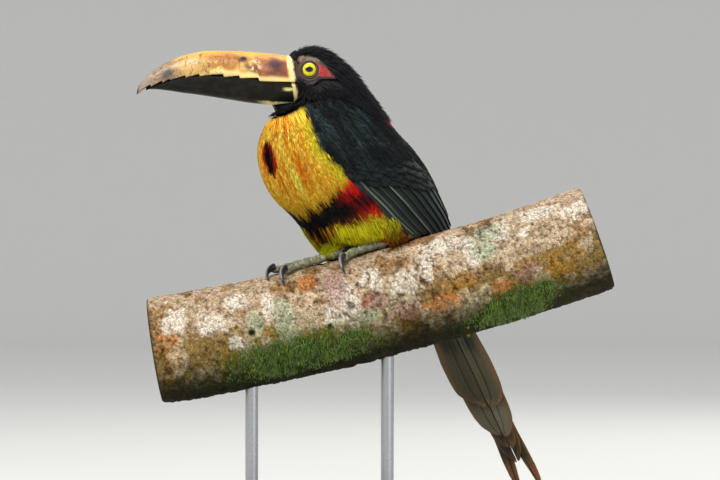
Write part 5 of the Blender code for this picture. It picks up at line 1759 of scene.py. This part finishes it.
def add_toe(foot, toe, sizes, material):
    """A tube along the toe's course, swelling into each joint's pad below and each scute above."""
    length = TOES[foot][toe][0]
    run = np.linspace(-3.2, length + 1.2, 130)
    x, angle = toe_course(foot, toe, run)
    share = np.clip(run / length, 0, 1)
    radii = TOE_RADIUS * (1.22 if foot == "left" else 1.05) * (1.0 - 0.2 * share)
    ends = np.sqrt(np.clip(1 - (np.maximum(run - length + 1.0, 0) / 2.6) ** 2, 0.05, 1))
    ends = ends * np.sqrt(np.clip(1 - (np.maximum(-1.6 - run, 0) / 1.7) ** 2, 0.05, 1))
    path = on_perch(x, angle, radii)
    away = unit(path - perch_axis(x)[0])
    turn = np.linspace(0, TAU, 28, endpoint=False)
    top = np.clip(np.sin(turn), 0, 1)
    wander = 0.5 * noise(stacked(run * 0.45, 0 * run), 103)[:, None]
    scute = (run[:, None] * MM / sizes.scute + wander) % 1
    plate = top**0.6 * (0.02 + 0.13 * (1 - (2 * scute - 1) ** 4))
    swell = np.abs(np.sin(np.pi * (run[:, None] + 1) / 6.5)) - 0.5
    pads = (0.55 + 0.45 * np.abs(np.sin(turn))) * 0.24 * swell
    ripple = 0.09 * noise(stacked(run[:, None] * 1.2, turn * 3), 101)
    size = radii[:, None] * ends[:, None] * (0.93 + plate + pads + ripple)
    rings = tube_rings(path, size, len(turn), away, 0.92)
    seam = step(0.14, 0.03, np.minimum(scute, 1 - scute)) * (top > 0.05)
    rough = noise(stacked(run[:, None] * 0.5, turn * 2), 102)
    speck = noise(stacked(run[:, None] * 1.6, turn * 5), 104)
    colour = mix(sizes.toe, "#A8A98A", np.clip(0.3 + 0.7 * rough, 0, 1))
    # Painted highlight: the tops of the toes are lightened.
    colour = mix(colour, "#C4C6A4", np.clip(0.5 * top * (0.4 + rough), 0, 0.6))
    colour = mix(colour, "#3A3C2A", np.clip(0.8 * speck, 0, 0.65))
    colour = mix(colour, "#1E2014", np.clip(0.95 * seam, 0, 1))
    # Painted shade: the undersides of the toes, against the bark, are darkened towards brown.
    under = np.broadcast_to(np.sin(turn), seam.shape)
    colour = mix(colour, "#5A5236", 0.6 * step(0.1, -0.4, under))
    place = foot + "_" + toe
    add_tube("toe_scaled_" + place, rings, material, ("toe_" + place,), colour)


def add_claw(foot, toe, sizes, material):
    """A hook: a cone whose radius falls as a power of the distance, arched over and back down to the bark."""
    length = TOES[foot][toe][0]
    share = np.linspace(0, 1, 48)
    x, angle = toe_course(foot, toe, length - 0.6 + share * (CLAW_LENGTH + 0.4))
    radii = 2.0 * MM * (1 - share) ** 0.7 + 0.14 * MM
    height = TOE_RADIUS * 0.85 * (1 - share**2) + 0.5 * MM * np.sin(np.pi * share) ** 0.8 + radii * 0.9
    path = on_perch(x, angle, height)
    away = unit(path - perch_axis(x)[0])
    turn = np.linspace(0, TAU, 20, endpoint=False)
    rings = tube_rings(path, radii[:, None] * np.ones(len(turn)), len(turn), away, 1.25)
    # Painted highlight: a pale stripe along one side of the claw, fading out towards its point.
    ridge = np.clip(np.sin(turn + 0.5), 0, 1) ** 5
    colour = mix(sizes.claw, "#A8A6B4",
                 0.8 * np.broadcast_to(ridge, (48, 20)) * step(0.98, 0.5, share)[:, None])
    colour = mix(colour, "#0E0C10", step(0.6, 1.0, share)[:, None] * np.ones(20))
    place = foot + "_" + toe
    add_tube("claw_horn_" + place, rings, material, ("claw_" + place,), colour)


def add_leg(foot, sizes, material):
    """The tarsus, ringed with scutes, rising and leaning back into the belly's feathers."""
    share = np.linspace(0, 1, 70)
    start = on_perch(np.array(FEET[foot][0] * MM), np.array(math.radians(FEET[foot][1])), np.array(1.36 * MM))
    lean = np.array((*LEG_LEAN[foot], 0.0))
    path = start + LEG_RISE * (share[:, None] * np.array((0, 0, 1.0)) + share[:, None] ** 2.6 * lean)
    radii = TARSUS_RADIUS + (THIGH_RADIUS - TARSUS_RADIUS) * np.clip((share - 0.33) / 0.42, 0, 1) ** 1.5
    radii = radii * np.sqrt(np.clip(1 - ((share - 0.75) / 0.25).clip(0) ** 2 * 0.8, 0, 1))
    turn = np.linspace(0, TAU, 28, endpoint=False)
    scute = (share[:, None] * LEG_RISE / sizes.scute) % 1
    size = radii[:, None] * (0.97 + 0.07 * (1 - (2 * scute - 1) ** 4)) * np.ones(len(turn))
    rings = tube_rings(path, size, len(turn), np.array((0.0, 1.0, 0.0)))
    seam = step(0.16, 0.03, np.minimum(scute, 1 - scute)) * np.ones(len(turn))
    colour = mix(sizes.toe, "#3C4030", seam)
    add_tube("leg_scaled_" + foot, rings, material, ("leg_" + foot,), colour)


class AddFeet(bpy.types.Operator):
    """Make the scaled toes and legs and the hooked claws."""

    bl_idname = "aracari.feet"
    bl_label = "Feet"

    def execute(self, context):
        sizes = context.scene.aracari_feet
        scaly, tree, shader = new_material("toe_scales", Roughness=0.5, Specular_IOR_Level=0.4)
        # scaled skin, dried: dull plates with dark seams and a dusty bloom
        grain = object_noise(tree, 1400, 3)
        patterned(tree, shader, grain, 0.7, 1.25)
        bumped(tree, shader, grain, 0.4, 0.0004)
        horny, tree, shader = new_material(
            "claw_keratin", Roughness=0.28, Coat_Weight=0.4, Coat_Roughness=0.15)
        # keratin claw, grown: smooth, nearly black, with a long highlight
        patterned(tree, shader, object_noise(tree, 700, 3), 0.75, 1.2)
        for foot in ("left", "right"):
            for toe in TOES[foot]:
                add_toe(foot, toe, sizes, scaly)
                add_claw(foot, toe, sizes, horny)
            add_leg(foot, sizes, scaly)
        return {"FINISHED"}


# ==== Branch ====

class PerchSettings(bpy.types.PropertyGroup):
    relief: length_setting("Relief", "Depth of the bark's cracks and plates", 1.2 * MM, 0, 6 * MM)
    bark: colour_setting("Bark", "Brown of the bare bark", "#A8845A")
    lichen: colour_setting("Pale lichen", "Grey-white crust lichen", "#E8D8BE")
    moss: colour_setting("Moss", "Green of the moss", "#5C8A10")


MOSS_PLACES = (  # x, angle from the top towards -Y in degrees, half length, half width in degrees, weight
    (-38, 118, 40, 20, 1.0),
    (-52, 132, 22, 16, 0.7),
    (-12, 126, 16, 14, 0.9),
    (88, 140, 20, 20, 1.3),
    (104, 124, 16, 14, 0.8),
)


def moss_cover(x, angle):
    """Moss: a sum of bells along the branch and round it, broken up by noise."""
    total = 0
    degrees = np.degrees(angle)
    for at, turn, half, wide, weight in MOSS_PLACES:
        total = total + weight * np.exp(-(((x / MM - at) / half) ** 2 + ((degrees - turn) / wide) ** 2))
    broken = layered_noise(stacked(x / (5 * MM), degrees / 9), 111)
    return np.clip(total * (0.85 + 0.8 * broken), 0, 1)


def bark_height(x, angle, relief):
    """Bark: broad swellings, small plates, thin cracks across the branch and grit, each a layer of noise."""
    ring = stacked(np.cos(angle), np.sin(angle))
    broad = layered_noise(np.concatenate([x[..., None] / (32 * MM), ring * 1.3], -1), 112, 2)
    plates = layered_noise(np.concatenate([x[..., None] / (3.4 * MM), ring * 8], -1), 114, 3)
    cracks = 1 - np.abs(layered_noise(np.concatenate([x[..., None] / (5.5 * MM), ring * 3.5], -1), 118, 2))
    grit = noise(np.concatenate([x[..., None] / (1.2 * MM), ring * 28], -1), 121)
    knots = knot_cover(x, angle)
    height = -0.45 + 0.5 * broad + 0.36 * plates - 0.45 * step(0.9, 0.99, cracks) + 0.24 * grit
    return relief * height - 2.2 * MM * step(0.45, 0.9, knots) + 0.7 * MM * step(0.02, 0.3, knots)


KNOTS = ((-62.9, 88, 3.4), (-16.4, 99, 2.6))  # x, angle from the top towards -Y, radius


def knot_cover(x, angle):
    """Little round scars where twigs have dropped: bells about each one's middle."""
    total = 0
    for at, turn, size in KNOTS:
        away = np.hypot(x / MM - at, (np.degrees(angle) - turn) * PERCH_RADIUS / MM * math.pi / 180)
        total = total + np.exp(-((away / size) ** 2))
    return total


# Lichens that stand out: x, angle from the top towards -Y, half their length and half their width on the
# bark, in millimetres and degrees.
PALE_LICHENS = (
    (-68.5, 49, 7, 12), (-3.3, 78, 8, 26), (14, 59, 7, 16), (-10, 90, 9, 12), (34, 72, 9, 14),
    (-86, 70, 9, 14),
    (95, 45, 7, 16), (110, 56, 4, 7), (142, 50, 9, 12), (60, 40, 14, 14), (-72, 96, 6, 8), (-50, 60, 4, 14),
    (120, 35, 12, 12), (48, 62, 5, 18), (-108, 60, 8, 16), (76, 60, 5, 22),
)
SAGE_LICHENS = ((-42, 83, 6, 24), (87, 40, 9, 16), (84, 62, 8, 12), (-60, 78, 5, 14), (8, 98, 6, 8))
ORANGE_LICHENS = ((-24, 42, 6, 11), (7.5, 82, 3.5, 6), (50, 105, 10, 10), (88, 108, 8, 8), (-112, 80, 6, 8))
MAUVE_LICHENS = ((-8, 55, 8, 20), (12, 84, 8, 10), (30, 104, 9, 9), (104, 100, 7, 10))


def lichen_cover(x, angle, places, seed):
    """Crust lichens: bells about their middles with edges broken up by noise in cells of two sizes."""
    total = 0
    degrees = np.degrees(np.where(angle > math.pi, angle - TAU, angle))
    for at, turn, half, wide in places:
        total = np.maximum(total, np.exp(-(((x / MM - at) / half) ** 2 + ((degrees - turn) / wide) ** 2)))
    rough = 0.35 * crust(x, angle, 4 * MM, seed) + 0.3 * crust(x, angle, 1.6 * MM, seed + 5)
    return step(0.28, 0.5, total + rough * (total > 0.05))


def crust(x, angle, cell, seed):
    """A patchy cover: noise in cells of a size, cut off at a level."""
    ring = stacked(np.cos(angle), np.sin(angle)) * (PERCH_RADIUS / cell)
    return layered_noise(np.concatenate([x[..., None] / cell, ring], -1), seed, 3)


def bark_tint(sizes, x, turn, height, pale_cover, moss):
    """Warm brown bark, speckled, ochre low down, with crusts of lichen in four colours; painted shade darkens
    the lower sides, the cracks and the underside.
    """
    fine = crust(x, turn, 2.6 * MM, 132)
    middle = crust(x, turn, 6.5 * MM, 133)
    broad = crust(x, turn, 16 * MM, 134)
    up, toward = np.cos(turn), np.sin(turn)

    def paint(colour, code, cover):
        return mix(colour, code, np.clip(cover, 0, 1))

    colour = mix(sizes.bark, "#D2A878", np.clip(0.45 + 0.9 * middle, 0, 1))
    colour = paint(colour, "#7C5C38", 0.25 - 1.1 * fine)
    # Painted shade: the lower sides of the branch are darkened towards olive.
    colour = paint(colour, "#8E7A3A", 0.75 * step(0.45, -0.1, up + 0.25 * broad) * (0.75 + 0.5 * middle))
    colour = paint(colour, "#C08A2A", 0.6 * step(0.15, 0.5, broad) * step(0.3, -0.1, up))
    colour = mix(colour, sizes.lichen, np.clip(0.55 * pale_cover * (0.8 + 0.7 * fine), 0, 0.9))
    for places, code, seed, strength in (
        (PALE_LICHENS, "#F0E4D2", 151, 0.85), (SAGE_LICHENS, "#B9BFA0", 152, 0.8),
        (ORANGE_LICHENS, "#D88A4C", 153, 0.75), (MAUVE_LICHENS, "#B88A84", 154, 0.55),
    ):
        colour = paint(colour, code, strength * lichen_cover(x, turn, places, seed) * (0.95 + 0.6 * fine))
    pits = step(0.22, 0.45, crust(x, turn, 1.5 * MM, 136))
    colour = paint(colour, "#3E2C18", 0.75 * pits)
    # Painted shade: the bark is darkened where its relief sinks deepest, in the cracks.
    colour = paint(colour, "#2A2016", 0.8 * step(-0.5 * MM, -1.6 * MM, height))
    colour = paint(colour, "#15100A", 0.95 * step(0.5, 0.85, knot_cover(x, turn)))
    # Painted shade: darker under the branch, and darkest along its bottom.
    shade = step(0.02, -0.55, up + 0.15 * toward + 0.12 * middle)
    colour = paint(colour, "#3A3016", 0.82 * shade * (0.95 - 0.4 * fine))
    colour = paint(colour, "#1C1E10", 0.85 * step(-0.45, -0.85, up + 0.1 * middle))
    return mix(colour, tone(sizes.moss) * 0.4, np.clip(1.2 * moss, 0, 1))


def wood_tint(levels, angle):
    """Growth rings: a sine of the distance from the heart, bent by noise, darker to the heart and the rim."""
    r, q = np.meshgrid(levels, angle, indexing="ij")
    bent = r + 0.05 * noise(stacked(r * 3, np.cos(q) * 1.5, np.sin(q) * 1.5), 142)
    rings = 0.5 + 0.5 * np.sin(bent * 90)
    colour = mix("#C9A678", "#9C7448", rings * 0.8)
    colour = mix(colour, "#7A5430", 0.6 * step(0.35, 0.0, r))
    crack = step(0.985, 0.999, np.cos(q - 2.2 - 0.3 * r)) * step(0.1, 0.3, r)
    colour = mix(colour, "#3A2818", 0.8 * crack)
    return mix(colour, "#4A3422", step(0.92, 0.97, r))


def bark_material():
    """Rough bark with crust lichen, grown: dull, gritty and broken up at the scale of a grain of sand."""
    material, tree, shader = new_material("lichened_bark", Roughness=0.9, Specular_IOR_Level=0.15)
    grain = object_noise(tree, 620, 5, 0.7)
    speck = object_noise(tree, 1500, 2, 0.6)
    coarse = ranged(tree, grain, 0.36, 0.64, 0.45, 1.3)
    shade = blended(tree, 1.0, coarse, ranged(tree, speck, 0.35, 0.65, 0.6, 1.3), "MULTIPLY")
    tree.links.new(blended(tree, 1.0, tint_of(tree), shade, "MULTIPLY"), shader.inputs["Base Color"])
    bumped(tree, shader, grain, 0.8, 0.0009)
    bumped(tree, shader, speck, 0.6, 0.0005)
    return material


def wood_material():
    """Sawn hardwood: fine saw marks across the growth rings."""
    material, tree, shader = new_material("sawn_wood", Roughness=0.7, Specular_IOR_Level=0.3)
    marks = object_noise(tree, 380, 3, 0.5, (1, 4, 0.3))
    patterned(tree, shader, marks, 0.8, 1.12)
    bumped(tree, shader, marks, 0.5, 0.0004)
    return material


def add_moss(sizes):
    """Moss shoots: pointed blades standing out from the bark where it is covered, leaning every way."""
    rng = np.random.default_rng(151)
    count = 42000
    x = rng.uniform(PERCH_START + 4 * MM, PERCH_END - 4 * MM, count)
    angle = rng.uniform(math.radians(70), math.radians(190), count)
    cover = moss_cover(x, angle)
    keep = rng.uniform(0.12, 1.0, count) < cover
    x, angle, cover = x[keep], angle[keep], cover[keep]
    count = len(x)
    size = (1.4 + 3.2 * cover * rng.uniform(0.3, 1, count)) * MM
    base = bark_height(x, angle, sizes.relief) + 1.2 * MM * cover
    root = on_perch(x, angle, base - 0.6 * MM)
    out = unit(root - perch_axis(x)[0])
    lean = rng.normal(0, 0.55, (count, 3)) + np.array((0, 0, -0.35))
    direction = unit(0.8 * out + lean)
    side = unit(np.cross(direction, rng.normal(0, 1, (count, 3))))
    other = np.cross(direction, side)
    bend = unit(direction + np.array((0, 0, -0.6)))
    wide = 0.27 * MM * rng.uniform(0.7, 1.4, count)[:, None]
    middle = root + direction * (0.55 * size)[:, None]
    tip = middle + bend * (0.6 * size)[:, None]
    points = np.stack(
        [
            root + side * wide, root - side * 0.5 * wide + other * 0.8 * wide,
            root - side * 0.5 * wide - other * 0.8 * wide,
            middle + side * wide, middle - side * 0.5 * wide + other * 0.8 * wide,
            middle - side * 0.5 * wide - other * 0.8 * wide, tip,
        ],
        1,
    )
    faces = [
        np.array(
            [(0, 2, 1)] + [(i, (i + 1) % 3, 3 + (i + 1) % 3) for i in range(3)]
            + [(i, 3 + (i + 1) % 3, 3 + i) for i in range(3)]
            + [(3 + i, 3 + (i + 1) % 3, 6) for i in range(3)]
        )
    ]
    # Painted shade and light: each shoot is darkened towards its root, to a quarter at the bark, and
    # lightened past its own colour at the tip.
    level = np.array((0.25, 0.25, 0.25, 0.8, 0.8, 0.8, 1.2))
    leaf = mix(sizes.moss, "#A8C020", rng.uniform(0, 1, count) ** 2)
    leaf = mix(leaf, "#2C4A0C", rng.uniform(0, 1, count) ** 1.5)
    tint = leaf[:, None] * level[None, :, None]
    vertices, faces = joined(points, faces)
    root_place = stacked((x - PERCH_START) / (PERCH_END - PERCH_START), (angle - 1.22) / 2.1)
    root_place = (root_place - root_place.min(0)) / np.ptp(root_place, axis=0) * 0.985 + 0.005
    patch = stacked(np.array((0, 1, 0.5, 0, 1, 0.5, 0.5)), level / 1.2) * 0.003
    material, tree, shader = new_material("moss_shoots", Roughness=0.8, Sheen_Weight=0.3)
    # living moss, dried and dyed: soft, with painted light at the shoots' tips and painted shade between them
    patterned(tree, shader, object_noise(tree, 300, 3), 0.6, 1.3)
    add_piece("moss", vertices, faces, material, (), tint, {"OFBake": root_place[:, None] + patch})


class AddPerch(bpy.types.Operator):
    """Make the branch: lichened bark, sawn ends and moss."""

    bl_idname = "aracari.perch"
    bl_label = "Branch"

    def execute(self, context):
        sizes = context.scene.aracari_perch
        x = np.linspace(PERCH_START, PERCH_END, 420)
        angle = np.linspace(0, TAU, 200, endpoint=False)
        grid, turn = np.meshgrid(x, angle, indexing="ij")
        height = bark_height(grid, turn, sizes.relief)
        rim = np.minimum(grid - PERCH_START, PERCH_END - grid)
        height = height - 1.0 * MM * step(1.6 * MM, 0, rim)
        moss = moss_cover(grid, np.where(turn > math.pi, turn - TAU, turn))
        pale = crust(grid, turn, 11 * MM, 131)
        pale_cover = step(0.02, 0.16, pale + 0.22 * np.cos(turn) + 0.12 * np.sin(turn))
        height = height + 0.25 * MM * pale_cover + 1.2 * MM * moss
        height = np.minimum(height, 0.4 * MM + 3.2 * MM * moss)
        bark = on_perch(grid, turn, height)
        tint = bark_tint(sizes, grid, turn, height, pale_cover, moss)
        ends, end_tints, faces = [], [], [grid_faces(len(x), len(angle), True)]
        levels = np.linspace(1, 0, 34)[1:-1]
        start = bark.size // 3
        for row, inwards in ((0, 1), (-1, -1)):
            ring = bark[row]
            centre = ring.mean(0)
            disc = centre + (ring - centre)[None] * levels[:, None, None]
            here, further = (perch_axis(at * np.ones(1))[0] for at in (x[row], x[row] + inwards * 0.01))
            axis = unit(here - further)[0]
            growth = 0.12 * MM * np.sin(levels * 55)[:, None] + 0.3 * MM * noise(
                stacked(levels[:, None] * 6, np.cos(angle) * 5, np.sin(angle) * 5), 141)
            disc = disc + (growth[..., None] - 0.3 * MM) * axis
            points = np.concatenate([disc.reshape(-1, 3), centre[None]])
            first = np.arange(len(angle)) + (0 if row == 0 else (len(x) - 1) * len(angle))
            inner = start + np.arange(len(angle))
            join = stacked(first, np.roll(first, -1), np.roll(inner, -1), inner)
            rest = grid_faces(len(levels), len(angle), True, start)
            rim = start + (len(levels) - 1) * len(angle) + np.arange(len(angle))
            fan = fan_faces(rim, start + len(points) - 1)
            if row == 0:
                join, rest, fan = join[:, ::-1], rest[:, ::-1], fan[:, ::-1]
            faces += [join, rest, fan]
            ends.append(points)
            wood = wood_tint(levels, angle)
            end_tints.append(np.concatenate([wood.reshape(-1, 3), wood[-1].mean(0)[None]]))
            start += len(points)
        vertices = np.concatenate([bark.reshape(-1, 3), *ends])
        colours = np.concatenate([tint.reshape(-1, 3), *end_tints])
        order = np.argsort([face.shape[1] for face in faces], kind="stable")[::-1]
        faces_sorted = [faces[i] for i in order]
        which = np.concatenate([np.full(len(faces[i]), int(i > 0)) for i in order])
        vertices, faces_sorted = joined(vertices[None], faces_sorted)
        add_piece("branch", vertices, faces_sorted, [bark_material(), wood_material()],
                  ("perch",), colours, which=which)
        add_moss(sizes)
        return {"FINISHED"}


# ==== Stand ====

class StandSettings(bpy.types.PropertyGroup):
    lacquer: colour_setting("Lacquer", "Black lacquer of the base", "#1A1A1C")
    steel: colour_setting("Steel", "Brushed steel of the rods", "#B9BABE")


def add_base(sizes):
    """A rounded rectangle, its corners quarter circles, swept through a moulded edge profile."""
    profile = (  # inset and height, in millimetres
        (30, 0.0), (3.0, 0.0), (1.2, 0.0), (0.4, 0.35), (0.0, 1.0), (0.0, 5.2), (0.15, 5.9), (0.8, 6.3),
        (1.6, 6.5), (2.3, 7.1), (2.7, 8.1), (3.2, 9.4), (4.1, 10.6), (5.4, 11.5), (7.0, 11.9), (9.0, 12.0),
        (30, 12.0),
    )
    corner_turn = np.linspace(0, math.pi / 2, 13)
    rings = []
    for inset, height in profile:
        half_x, half_y = BASE_SIZE[0] / 2 - inset * MM, BASE_SIZE[1] / 2 - inset * MM
        radius = max(BASE_CORNER - inset * MM, 1.5 * MM)
        ring = []
        for quarter, (sx, sy) in enumerate(((1, 1), (-1, 1), (-1, -1), (1, -1))):
            turn = corner_turn + quarter * math.pi / 2
            ring.append(
                np.stack(
                    [
                        sx * (half_x - radius) + radius * np.cos(turn),
                        sy * (half_y - radius) + radius * np.sin(turn),
                        np.full(len(turn), height * MM),
                    ],
                    -1,
                )
            )
        rings.append(np.concatenate(ring))
    material, tree, shader = new_material(
        "lacquered_board", Base_Color=(*sizes.lacquer, 1.0),
        Roughness=0.3, Coat_Weight=0.6, Coat_Roughness=0.12,
    )  # fibreboard, sprayed with satin lacquer: even and dark, with a faint orange-peel skin
    peel = object_noise(tree, 420, 2)
    colour = blended(tree, ranged(tree, peel, 0.3, 0.7, 0.0, 1.0), (*sizes.lacquer, 1.0), linear("#26262A"))
    tree.links.new(colour, shader.inputs["Base Color"])
    bumped(tree, shader, peel, 0.12, 0.0004)
    piece = add_tube("stand_board", np.stack(rings), material, ("stand_base",))
    piece.data.set_sharp_from_angle(angle=math.radians(50))


def add_rod(side, x, sizes):
    """A turned profile carried round the rod's axis: a flange with a rounded shoulder, then the shaft."""
    top = float(on_perch(np.array(x), np.array(math.pi))[2]) + ROD_SEAT
    floor, flange, rod = BASE_SIZE[2] / MM, FLANGE_RADIUS / MM, ROD_RADIUS / MM
    profile = (  # radius and height, in millimetres
        (flange - 0.3, floor), (flange, floor + 0.3), (flange, floor + 2.0), (flange - 0.4, floor + 2.8),
        (flange - 1.4, floor + 3.3), (7.4, floor + 3.4), (6.6, floor + 3.8), (6.3, floor + 4.6),
        (6.2, floor + 9.4), (6.0, floor + 10.0), (5.4, floor + 10.3), (rod + 0.2, floor + 10.4),
        (rod, floor + 10.6), (rod, floor + 30.0), (rod, top / MM - 0.5), (rod - 0.5, top / MM),
    )
    turn = np.linspace(0, TAU, 56, endpoint=False)
    rings = np.stack(
        [
            stacked(x + r * MM * np.cos(turn), PERCH_Y + r * MM * np.sin(turn), np.full(56, z * MM))
            for r, z in profile
        ]
    )
    material, tree, shader = new_material("brushed_steel", Base_Color=(*sizes.steel, 1.0), Metallic=1.0)
    # stainless steel, turned and brushed: fine rings round the rod break its highlight
    rings_noise = object_noise(tree, 900, 3, 0.6, (0.08, 0.08, 3.0))
    tree.links.new(ranged(tree, rings_noise, 0.3, 0.7, 0.24, 0.42), shader.inputs["Roughness"])
    bumped(tree, shader, rings_noise, 0.12, 0.0002)
    piece = add_tube("stand_post_" + side, rings, material, ("stand_rod_" + side,))
    piece.data.set_sharp_from_angle(angle=math.radians(40))


class AddStand(bpy.types.Operator):
    """Make the lacquered base and the two turned rods."""

    bl_idname = "aracari.stand"
    bl_label = "Stand"

    def execute(self, context):
        sizes = context.scene.aracari_stand
        add_base(sizes)
        for side, x in ROD_PLACES.items():
            add_rod(side, x, sizes)
        return {"FINISHED"}


# ==== Stage ====

class StageSettings(bpy.types.PropertyGroup):
    distance: bpy.props.FloatProperty(
        name="Camera distance", description="From the camera to the bird", default=2.48, min=0.5, max=10,
        unit="LENGTH")
    lens: bpy.props.FloatProperty(
        name="Lens", description="Focal length", default=200, min=20, max=600, unit="CAMERA")
    backdrop: colour_setting("Backdrop", "Pale paper backdrop", "#DEDEDA")


def add_floor(sizes):
    """Backdrop paper turned about the upright axis: level, then a quarter circle up, then a low wall."""
    level, bend, wall = 4.4, 1.1, 2.0
    turn = np.linspace(0, math.pi / 2, 25)
    radius = np.concatenate([[0.4, level * 0.5], level + bend * np.sin(turn), [level + bend]])
    z = np.concatenate([[0.0, 0.0], bend * (1 - np.cos(turn)), [wall]])
    around = np.linspace(0, TAU, 96, endpoint=False)
    grid = stacked(
        radius[:, None] * np.cos(around), radius[:, None] * np.sin(around), z[:, None])
    points = np.concatenate([grid.reshape(-1, 3), [(0.0, 0.0, 0.0)]])
    faces = grid_faces(len(radius), len(around), True)[:, ::-1].tolist()
    faces += fan_faces(np.arange(len(around)), len(points) - 1).tolist()
    mesh = bpy.data.meshes.new("backdrop")
    mesh.from_pydata(points.tolist(), [], faces)
    mesh.shade_smooth()
    material, tree, shader = new_material("backdrop_paper", Roughness=0.9, Specular_IOR_Level=0.1)
    tooth = ranged(tree, object_noise(tree, 300, 2), 0.3, 0.7, 0.98, 1.0)
    tree.links.new(blended(tree, 1.0, (*sizes.backdrop, 1.0), tooth, "MULTIPLY"), shader.inputs["Base Color"])
    mesh.materials.append(material)
    floor = bpy.data.objects.new("backdrop", mesh)
    bpy.context.scene.collection.objects.link(floor)


def add_light(name, place, size, power, colour):
    data = bpy.data.lights.new(name, "AREA")
    data.shape = "DISK"
    data.size = size
    data.energy = power
    data.color = linear(colour)[:3]
    light = bpy.data.objects.new(name, data)
    light.location = place
    aim = np.array((0.0, 0.0, 0.19)) - np.array(place)
    light.rotation_euler = Vector(aim).to_track_quat("-Z", "Y").to_euler()
    bpy.context.scene.collection.objects.link(light)


class AddStage(bpy.types.Operator):
    """Set the floor, the lights, the sky and the camera."""

    bl_idname = "aracari.stage"
    bl_label = "Stage"

    def execute(self, context):
        sizes = context.scene.aracari_stage
        add_floor(sizes)
        for name, place, size, power, colour in (
            ("key_light", (-1.0, -1.35, 1.75), 0.9, 31, "#FFF6E8"),
            ("fill_light", (1.5, -1.5, 0.7), 1.4, 8, "#EEF4FF"),
            ("top_light", (0.1, 0.15, 1.9), 1.2, 9, "#FFFFFF"),
            ("rim_light", (0.9, 1.3, 1.0), 0.8, 6, "#FFFFFF"),
        ):
            add_light(name, place, size, power, colour)
        world = bpy.data.worlds.new("studio")
        world.use_nodes = True
        world.node_tree.nodes["Background"].inputs["Color"].default_value = linear("#F4F6FA")
        world.node_tree.nodes["Background"].inputs["Strength"].default_value = 0.75
        context.scene.world = world
        context.scene.view_settings.view_transform = "Standard"
        camera_data = bpy.data.cameras.new("camera")
        camera_data.lens = sizes.lens
        camera_data.sensor_width = 36
        camera_data.clip_end = 20
        camera = bpy.data.objects.new("camera", camera_data)
        camera.location = (3.1 * MM, HEAD_Y - sizes.distance, 180.4 * MM)
        camera.rotation_euler = (math.radians(90), 0, 0)
        context.scene.collection.objects.link(camera)
        context.scene.camera = camera
        return {"FINISHED"}


# ==== Add-on ====

SETTINGS = (
    ("aracari_plumage", PlumageSettings),
    ("aracari_wings", WingSettings),
    ("aracari_tail", TailSettings),
    ("aracari_bill", BillSettings),
    ("aracari_face", FaceSettings),
    ("aracari_feet", FootSettings),
    ("aracari_perch", PerchSettings),
    ("aracari_stand", StandSettings),
    ("aracari_stage", StageSettings),
)
OPERATORS = (
    AddStage, AddStand, AddPerch, AddSkin, AddHood, AddBreast, AddMantle, AddWings, AddTail, AddBill,
    AddEyes, AddFeet,
)


class AracariPanel(bpy.types.Panel):
    """Lists the model's sizes and colours with the operators that make its pieces."""

    bl_idname = "VIEW3D_PT_aracari"
    bl_label = "Collared aracari"
    bl_space_type = "VIEW_3D"
    bl_region_type = "UI"
    bl_category = "Aracari"

    def draw(self, context):
        for operator in OPERATORS:
            self.layout.operator(operator.bl_idname)
        for name, _ in SETTINGS:
            box = self.layout.box()
            settings = getattr(context.scene, name)
            for key in settings.__annotations__:
                box.prop(settings, key)


def register():
    for name, group in SETTINGS:
        bpy.utils.register_class(group)
        setattr(bpy.types.Scene, name, bpy.props.PointerProperty(type=group))
    for item in (*OPERATORS, AracariPanel):
        bpy.utils.register_class(item)


def unregister():
    for item in reversed((*OPERATORS, AracariPanel)):
        bpy.utils.unregister_class(item)
    for name, group in reversed(SETTINGS):
        delattr(bpy.types.Scene, name)
        bpy.utils.unregister_class(group)


def main():
    register()
    for operator in OPERATORS:
        group, name = operator.bl_idname.split(".")
        getattr(getattr(bpy.ops, group), name)()


if __name__ == "__main__":
    main()
